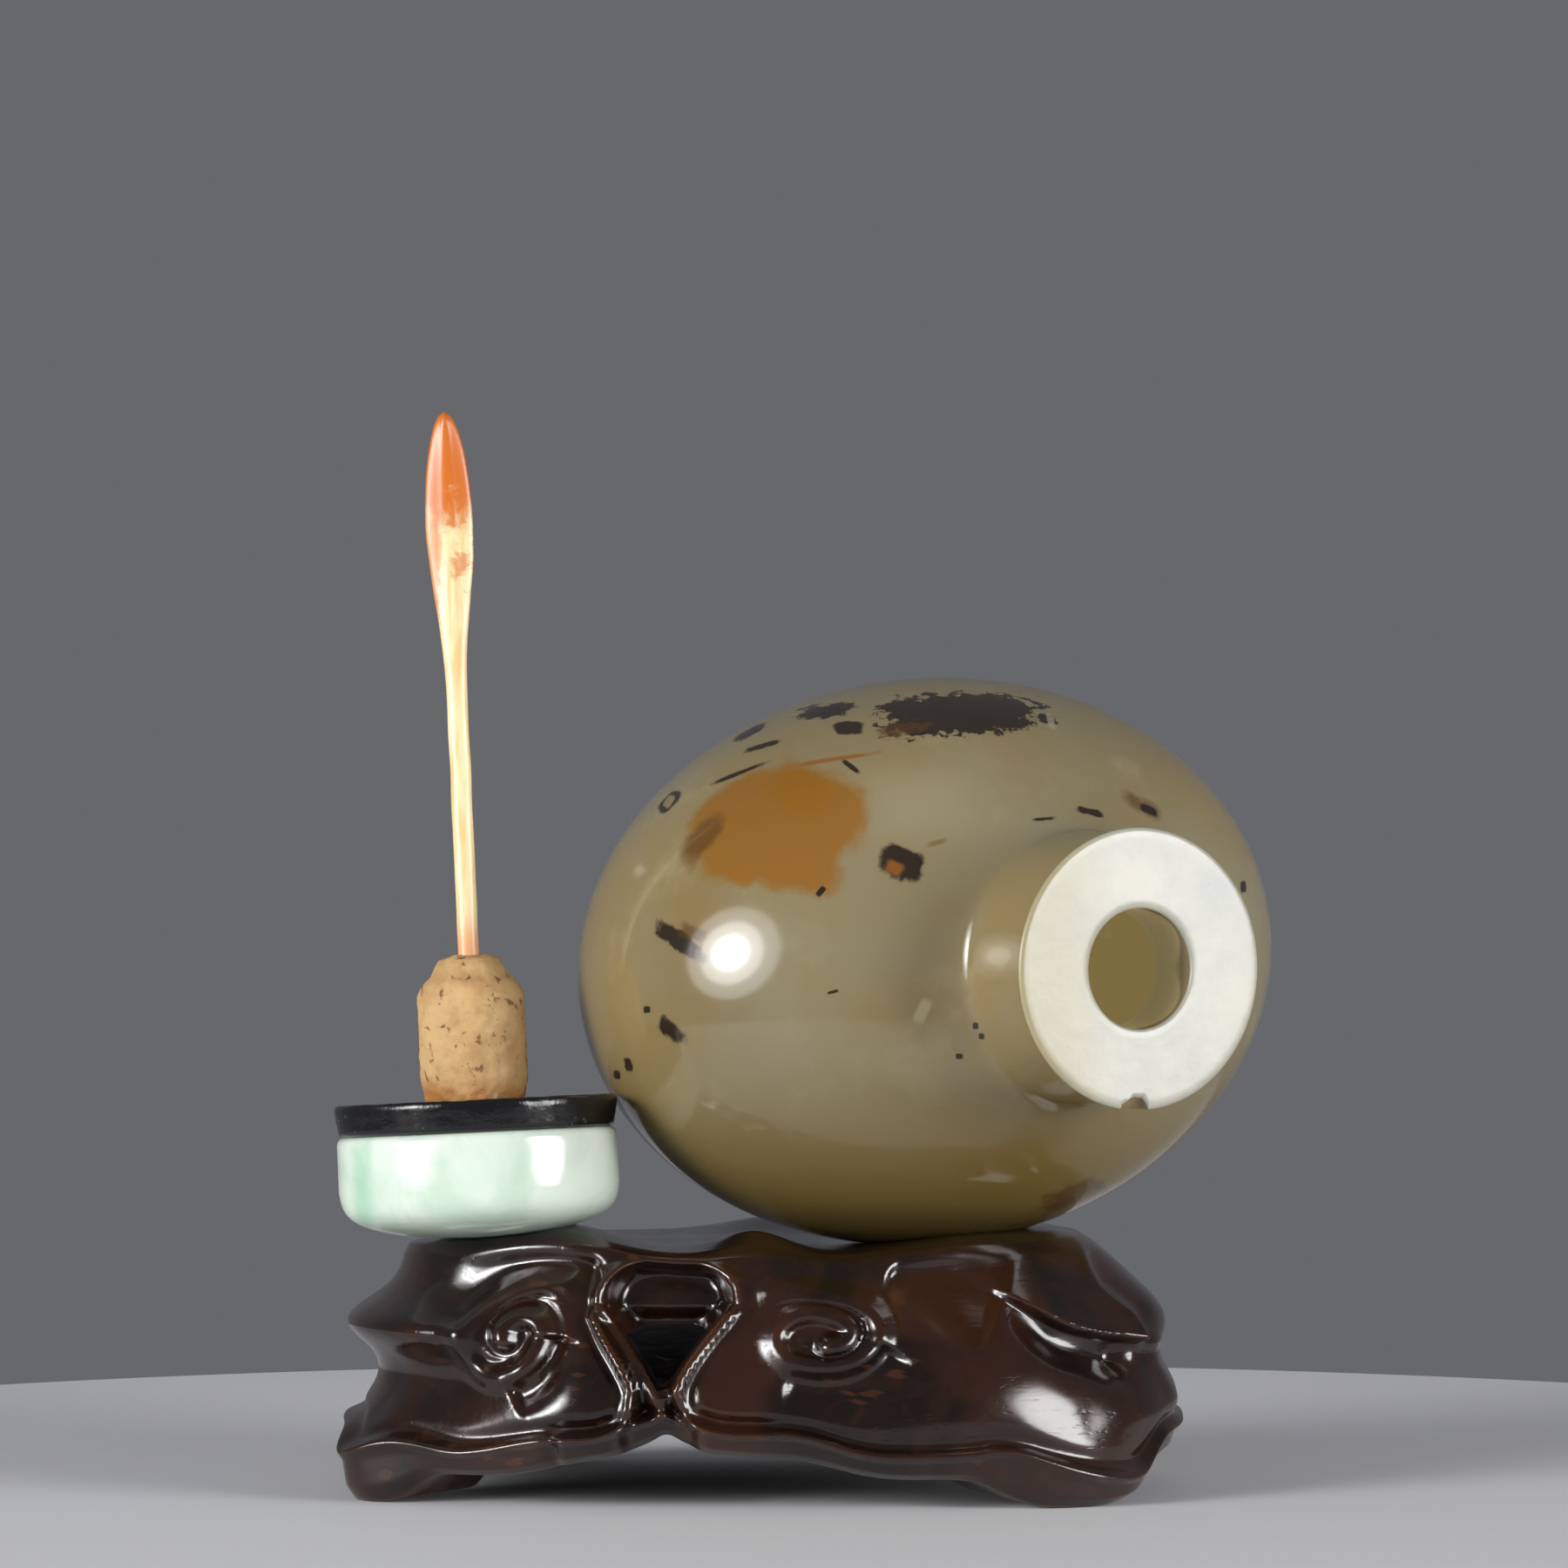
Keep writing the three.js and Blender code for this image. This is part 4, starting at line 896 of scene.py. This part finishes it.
def carving(x, y, z):
    """How far the carving stands out of (or into) the apron, in millimetres."""
    front, left = ramp(-y, 2, 9), ramp(-x, 17, 25)
    # swelling lobes
    out = front * (1.3 * bell(x - 14, 5.5) * bell(z - 8, 3.4) + 0.8 * bell(x + 15, 4.5) * bell(z - 7, 2.6))
    out = out + front * 0.45 * bell(x + 13.8, 2.6) * bell(z - 9, 2.6)
    # the pierced loop stands between two beaded lobes, its inside dished
    border_left, border_right = np.interp(z, *LOBE_LEFT), np.interp(z, *LOBE_RIGHT)
    between = ramp(x - border_left, 0, 0.6) * ramp(border_right - x, 0, 0.6) * ramp(14.0 - z, 0, 1.5)
    out = out - front * 1.3 * between
    inside = loop_half_width(z) - np.abs(x - LOOP_X)
    out = out - front * 2.6 * ramp(inside, -0.1, 1.5) * (z > LOOP_LOW) * (z < LOOP_HIGH)
    reach, _ = distance_to(LOOP_RIM, x, z)
    out = out + front * (0.95 * bell(reach, 0.55) - 0.25 * bell(reach - 1.2, 0.35) * (inside < 0))
    for line in (LEFT_LOBE, RIGHT_LOBE):
        reach, _ = distance_to(line, x, z)
        out = out + front * (0.42 * bell(reach, 0.26) - 0.22 * bell(reach - 0.75, 0.3))
    # scrolls: a raised band that curls in round a small boss
    for line, middle, size in ((LEFT_SCROLL, (-18.4, 12.1), (3.6, 3.2)),
                               (RIGHT_SCROLL, (3.0, 12.2), (4.0, 2.8))):
        reach, along = distance_to(line, x, z)
        disc = 1 - np.hypot((x - middle[0]) / size[0], (z - middle[1]) / size[1])
        out = out + front * 0.35 * ramp(disc, -0.25, 0.3)
        thickness = 0.72 - 0.22 * along
        starting = ramp(along, 0.0, 0.08)
        beside = 0.4 * bell(reach - 1.1, 0.32) * ramp(disc, -0.1, 0.15)
        out = out + front * starting * (0.62 * bell(reach, thickness) - beside)
        out = out + front * 0.35 * bell(np.hypot(x - middle[0], z - middle[1]), 0.8)
    for line, width, depth in ((LEFT_CHANNEL, 0.95, 0.9), (RIGHT_VALLEY, 1.7, 0.7), (SCROLL_SHADOW, 1.0, 0.7),
                               (LEFT_GROOVE, 0.8, 0.8)):
        reach, along = distance_to(line, x, z)
        out = out - front * depth * bell(reach, width) * ramp(along * (1 - along), 0, 0.08)
    # overhanging leaf on the right shoulder, with a hollow cut under it
    rise = z - line_at(LEAF_LINE, x)
    side, _ = distance_to(LEAF_SIDE, x, z)
    leaf_right = np.interp(z, *LEAF_RIGHT)
    leaf = front * ramp(x, 12.5, 17.5) * ramp(leaf_right + 0.5 - x, 0, 0.8)
    out = out + leaf * 1.15 * ramp(rise, -0.25, 0.25) * np.exp(-np.maximum(rise, 0) / 1.8)
    under = front * ramp(x, 14, 18.5) * ramp(leaf_right + 0.2 - x, 0, 1.6)
    out = out - under * 1.35 * bell(rise + 1.3, 1.1) * (rise < 0.2)
    out = out + front * 0.3 * bell(side, 0.32)
    out = out - front * 1.0 * bell(x - leaf_right - 1.5, 0.8) * ramp(z, 10.5, 12.5) * ramp(19 - z, 0, 1.5)
    reach, _ = distance_to(END_RIDGE, x, z)
    out = out + front * 0.35 * bell(reach, 0.45)
    # spur and hollow on the left end
    out = out + left * (2.4 * bell(z - 12, 1.25) - 1.2 * bell(z - 8, 1.8) + 0.9 * bell(z - 2.6, 1.6))
    # shallow rolls along the back and the right end
    back, right = ramp(y, 4, 10), ramp(x, 20, 24)
    out = out + back * 0.8 * (bell(x + 15, 6) + bell(x - 9, 6)) * bell(z - 9, 3.5)
    return out + right * (0.7 * bell(z - 12.6, 1.3) + 0.6 * bell(z - 6.2, 1.5) - 0.5 * bell(z - 9.6, 1.0))


def apron(angle, v):
    turn = np.cos(angle)
    power = 1.7 + 1.5 * ramp(turn, 0.5, 1) - 0.5 * ramp(-turn, 0.6, 1)
    share = 1 - (1 - v) ** power
    x, y = plan_point(angle, TOP_BOX, share)
    ahead_x, ahead_y = plan_point(angle + 1e-3, TOP_BOX, share)
    out_x, out_y = ahead_y - y, x - ahead_x
    size = np.maximum(np.hypot(out_x, out_y), 1e-9)
    z = (top_height(x, y) - 0.3) * (1 - v) + crease_height(x, y) * v
    out = carving(x, y, z) * ramp(v, 0, 0.12) + 0.5 * (bell(v - 0.985, 0.022) - 0.6 * bell(v - 0.925, 0.028))
    out = out + 0.12 * bell(v - 0.05, 0.03)
    for foot_x, foot_y, spread in FEET:
        out = out + 2.0 * bell(np.hypot(x - foot_x, y - foot_y), spread) * v ** 4
    return x + out_x / size * out, y + out_y / size * out, z


def stand_point(angle, share):
    """The stand's surface: top, carved apron, plain edge, hollow underneath and its ceiling."""
    ends = (0, TOP_END, SIDE_END, EDGE_END, HOLLOW_END, 1)
    top, side, edge, hollow, ceiling = [np.clip((share - start) / (end - start), 0, 1)
                                        for start, end in zip(ends, ends[1:])]
    rim_x, rim_y = plan_point(angle, TOP_BOX)
    x, y = -3 * (1 - top) + rim_x * top, rim_y * top
    z = top_height(x, y) - 0.3 * ramp(top, 0.93, 1)
    ax, ay, az = apron(angle, side)
    cx, cy, cz = apron(angle, np.ones_like(angle))
    low = lower_edge(cx, cy)
    hx, hy = plan_point(angle, HOLLOW_BOX)
    span = np.hypot(cx - hx, cy - hy)
    inset = np.interp(edge, (0, 0.25, 0.7, 1), (0, 0.45, 0.75, 1.5)) / span
    rise = np.interp(edge, (0, 0.15, 0.25, 0.75, 1), (1, 0.9, 0.8, 0.25, 0))
    ex, ey, ez = cx + (hx - cx) * inset, cy + (hy - cy) * inset, low + (cz - low) * rise
    climb = 0.04 + 0.96 * hollow
    grow = dict.fromkeys(FLARE, 1.0)
    ux, uy = plan_point(angle, HOLLOW_BOX, (0.9 - climb) * 1.6, grow)
    uz = low + (CEILING - low) * np.maximum(0, climb - 0.04)
    kx, ky, kz = -2 * ceiling + hx * (1 - ceiling), hy * (1 - ceiling), np.full_like(low, CEILING)
    place = []
    for parts in ((x, ax, ex, ux, kx), (y, ay, ey, uy, ky), (z, az, ez, uz, kz)):
        place.append(np.select([share < end for end in ends[1:5]], parts[:4], parts[4]))
    return place


def wood_material(settings):
    material, tree, shader, place = new_material("Dark Carved Wood")
    grain_way = tree.nodes.new("ShaderNodeMapping")
    grain_way.inputs["Rotation"].default_value = (0, 0, -STAND_TURN)
    grain_way.inputs["Scale"].default_value = (0.16, 1, 1)
    tree.links.new(place, grain_way.inputs["Vector"])
    grain = noise_node(tree, grain_way.outputs["Vector"], 900, detail=5, roughness=0.6, distortion=0.4)
    tone = noise_node(tree, place, 110, detail=4, distortion=0.5)
    wear = noise_node(tree, place, 260, detail=6, roughness=0.65)
    base = mix_color(tree, map_range(tree, tone, 0.38, 0.66),
                     settings.wood_dark, settings.wood_red)
    base = mix_color(tree, map_range(tree, grain, 0.5, 0.75, 0, 0.6),
                     base, settings.wood_red)
    worn = map_range(tree, wear, 0.6, 0.78, 0, 0.4)
    base = mix_color(tree, worn, base, settings.wood_worn)
    # rubbed edges and convex parts are redder, hollows stay nearly black
    curve = tree.nodes.new("ShaderNodeNewGeometry").outputs["Pointiness"]
    edge = map_range(tree, curve, 0.51, 0.58, 0, 0.3)
    base = mix_color(tree, edge, base, settings.wood_worn)
    tree.links.new(base, shader.inputs["Base Color"])
    rough = map_range(tree, wear, 0.35, 0.7, 0.14, 0.25)
    tree.links.new(rough, shader.inputs["Roughness"])
    shader.inputs["Coat Weight"].default_value = 0.3
    shader.inputs["Coat Roughness"].default_value = 0.12
    pores = noise_node(tree, grain_way.outputs["Vector"], 2600, detail=2)
    rise = arithmetic(tree, "ADD", grain,
                      map_range(tree, pores, 0.6, 0.72, 0, -0.7))
    bump(tree, rise, 0.12, 0.0002, shader)
    return material


class StandSettings(bpy.types.PropertyGroup):
    columns: bpy.props.IntProperty(
        name="Columns", description="Columns of faces round the stand", default=440, min=60, max=460)
    rows: bpy.props.IntProperty(
        name="Rows", description="Rows of faces from the top over the edge to the ceiling of the hollow",
        default=206, min=60, max=216)
    wood_dark: colour_property("Dark Wood", "Nearly black ground colour", (0.0060, 0.0026, 0.0016))
    wood_red: colour_property("Red Wood", "Red-brown of the grain", (0.024, 0.0075, 0.0034))
    wood_worn: colour_property("Worn Wood", "Orange-brown where the finish is rubbed", (0.095, 0.030, 0.009))


class SNUFF_OT_stand(bpy.types.Operator):
    """Carve the hollow wood stand with its scrolls, loop and leaf"""
    bl_idname = "snuff.stand"
    bl_label = "Carved Stand"

    def execute(self, context):
        settings = context.scene.snuff_stand
        bm = bmesh.new()
        bmesh.ops.create_uvsphere(bm, u_segments=settings.columns, v_segments=settings.rows, radius=1.0)
        places = np.array([vert.co[:] for vert in bm.verts])
        turn = np.arctan2(places[:, 1], places[:, 0])
        share = np.arccos(np.clip(places[:, 2], -1, 1)) / math.pi
        x, y, z = stand_point(turn - COLUMN_SHIFT * np.cos(turn), share)
        z = self.seat(x, y, z)
        for vert, *place in zip(bm.verts, x, y, z):
            vert.co = place
        bmesh.ops.remove_doubles(bm, verts=bm.verts, dist=1e-4)
        bmesh.ops.recalc_face_normals(bm, faces=bm.faces)
        bmesh.ops.transform(bm, matrix=stand_matrix(), verts=bm.verts)
        stand = make_object("carved_wood_stand", bm, wood_material(settings))
        self.pierce(stand)
        declare(stand, "carved_stand")
        return {"FINISHED"}

    def seat(self, x, y, z):
        """Lower the top to the bottle and to the cap that rest on it."""
        settings = bpy.context.scene.snuff_bottle
        half = np.array([settings.half_width, settings.half_length, settings.half_depth]) / MM + 0.03
        # the bottle's axis is turned 30 degrees from the stand's, and its width is rolled up
        to_bottle = (bottle_matrix().inverted() @ stand_matrix()).to_3x3()
        m = np.array(to_bottle) / half[:, None]
        p = np.stack([x - BOTTLE_IN_STAND.x, y, np.full_like(x, -BOTTLE_IN_STAND.z)])
        start, way = m @ p, m[:, 2]
        a, b = way @ way, way @ start
        c = (start ** 2).sum(axis=0) - 1
        root = b * b - a * c
        low = np.where(root > 0, (-b - np.sqrt(np.maximum(root, 0))) / a, 1e9)
        z = np.minimum(z, low)
        lean = np.array(STOPPER_LEAN.to_matrix().inverted())
        local = lean @ np.stack([x - STOPPER_AT.x, y - STOPPER_AT.y, z - STOPPER_AT.z])
        outline = np.array(CAP_OUTLINE)
        floor = np.interp(np.hypot(local[0], local[1]), outline[:, 0], outline[:, 1], right=1e3)
        return z - np.maximum(0, local[2] - floor + 0.02)

    def pierce(self, stand):
        """Cut the three-cornered hole inside the loop through to the hollow."""
        bm = bmesh.new()
        verts = [bm.verts.new((px, -23.5, pz)) for px, pz in LOOP_HOLE]
        bm.faces.new(verts)
        made = bmesh.ops.extrude_face_region(bm, geom=list(bm.faces))["geom"]
        moved = [item for item in made if isinstance(item, bmesh.types.BMVert)]
        bmesh.ops.translate(bm, vec=(0, 13.5, 0), verts=moved)
        bmesh.ops.recalc_face_normals(bm, faces=bm.faces)
        bmesh.ops.transform(bm, matrix=stand_matrix(), verts=bm.verts)
        cutter = make_object("opening", bm, stand.data.materials[0])
        cut_away(stand, cutter)


# ------------------------------------------------------------------ stage
# Softboxes: name, degrees round from the camera, height, distance, width, power setting and share of it.
SOFTBOXES = (
    ("softbox_left", -52, 0.15, 0.62, 0.44, "key_power", 0.42),
    ("softbox_left_middle", -52, 0.15, 0.61, 0.29, "key_power", 0.33),
    ("softbox_left_core", -52, 0.15, 0.60, 0.16, "key_power", 0.25),
    ("softbox_right", 60, 0.13, 0.62, 0.34, "side_power", 1.0),
)
SENSOR_WIDTH, LENS = 36, 168.5
FLOOR_RADIUS, AIM_HEIGHT = 0.11, 0.035
FLOOR_GREY, ROOM_GREY = (0.78, 0.78, 0.80), (0.135, 0.138, 0.15, 1)


def plain_material(name, colour, roughness):
    material = bpy.data.materials.new(name)
    material.use_nodes = True
    shader = material.node_tree.nodes["Principled BSDF"]
    shader.inputs["Base Color"].default_value = (*colour, 1)
    shader.inputs["Roughness"].default_value = roughness
    return material


class StageSettings(bpy.types.PropertyGroup):
    key_power: bpy.props.FloatProperty(
        name="Left Softbox", description="Power of the softbox at the camera's left", default=4.6, min=0,
        unit="POWER")
    side_power: bpy.props.FloatProperty(
        name="Right Softbox", description="Power of the softbox at the camera's right", default=3.8, min=0,
        unit="POWER")
    camera_distance: length_property("Camera Distance", "Distance from the stand's middle", 0.52, 0.2)
    camera_height: length_property("Camera Height", "Height of the level camera", 0.0496, 0)


class SNUFF_OT_stage(bpy.types.Operator):
    """Set out the camera, the softboxes and the pale floor"""
    bl_idname = "snuff.stage"
    bl_label = "Stage"

    def execute(self, context):
        settings = context.scene.snuff_stage
        scene = context.scene
        front = Matrix.Rotation(STAND_TURN, 4, "Z")
        origin = stand_matrix() @ Vector((0, 0, 0))
        camera_data = bpy.data.cameras.new("camera")
        camera_data.sensor_width = SENSOR_WIDTH
        camera_data.lens = LENS
        camera_data.clip_start = 0.05
        camera = bpy.data.objects.new("camera", camera_data)
        camera.location = origin + front @ Vector((0, -settings.camera_distance, settings.camera_height))
        camera.rotation_euler = (math.radians(90), 0, STAND_TURN)
        scene.collection.objects.link(camera)
        scene.camera = camera
        bm = bmesh.new()
        bmesh.ops.create_circle(bm, cap_ends=True, segments=128, radius=FLOOR_RADIUS)
        floor = make_object("floor", bm, plain_material("Floor", FLOOR_GREY, 0.6))
        target = origin + Vector((0, 0, AIM_HEIGHT))
        for name, turn, height, distance, size, power, part in SOFTBOXES:
            data = bpy.data.lights.new(name, "AREA")
            data.shape = "DISK"
            data.size = size
            data.energy = getattr(settings, power) * part
            lamp = bpy.data.objects.new(name, data)
            angle = math.radians(turn)
            away = Vector((distance * math.sin(angle), -distance * math.cos(angle), height))
            lamp.location = origin + front @ away
            lamp.rotation_euler = (target - lamp.location).to_track_quat("-Z", "Y").to_euler()
            scene.collection.objects.link(lamp)
        world = bpy.data.worlds.new("Grey Room")
        world.use_nodes = True
        world.node_tree.nodes["Background"].inputs["Color"].default_value = ROOM_GREY
        world.node_tree.nodes["Background"].inputs["Strength"].default_value = 1.0
        scene.world = world
        scene.view_settings.view_transform = "Standard"
        return {"FINISHED"}


class SNUFF_PT_panel(bpy.types.Panel):
    """Panel of the snuff bottle's pieces"""
    bl_label = "Snuff Bottle"
    bl_idname = "SNUFF_PT_panel"
    bl_space_type = "VIEW_3D"
    bl_region_type = "UI"
    bl_category = "Snuff Bottle"

    def draw(self, context):
        layout = self.layout
        for group, operators in PANEL_ORDER:
            settings = getattr(context.scene, group)
            box = layout.box()
            for name in settings.__annotations__:
                box.prop(settings, name)
            for operator in operators:
                box.operator(operator.bl_idname)


SETTINGS = {"snuff_bottle": BottleSettings, "snuff_stopper": StopperSettings, "snuff_stand": StandSettings,
            "snuff_stage": StageSettings}
OPERATORS = (SNUFF_OT_stage, SNUFF_OT_bottle, SNUFF_OT_stopper, SNUFF_OT_spoon, SNUFF_OT_stand)
PANEL_ORDER = (("snuff_bottle", (SNUFF_OT_bottle,)), ("snuff_stopper", (SNUFF_OT_stopper, SNUFF_OT_spoon)),
               ("snuff_stand", (SNUFF_OT_stand,)), ("snuff_stage", (SNUFF_OT_stage,)))


def register():
    for name, settings in SETTINGS.items():
        bpy.utils.register_class(settings)
        setattr(bpy.types.Scene, name, bpy.props.PointerProperty(type=settings))
    for cls in (*OPERATORS, SNUFF_PT_panel):
        bpy.utils.register_class(cls)


def unregister():
    for cls in (SNUFF_PT_panel, *reversed(OPERATORS)):
        bpy.utils.unregister_class(cls)
    for name, settings in SETTINGS.items():
        delattr(bpy.types.Scene, name)
        bpy.utils.unregister_class(settings)


def main():
    register()
    bpy.ops.snuff.stage()
    bpy.ops.snuff.bottle()
    bpy.ops.snuff.stopper()
    bpy.ops.snuff.spoon()
    bpy.ops.snuff.stand()


if __name__ == "__main__":
    main()
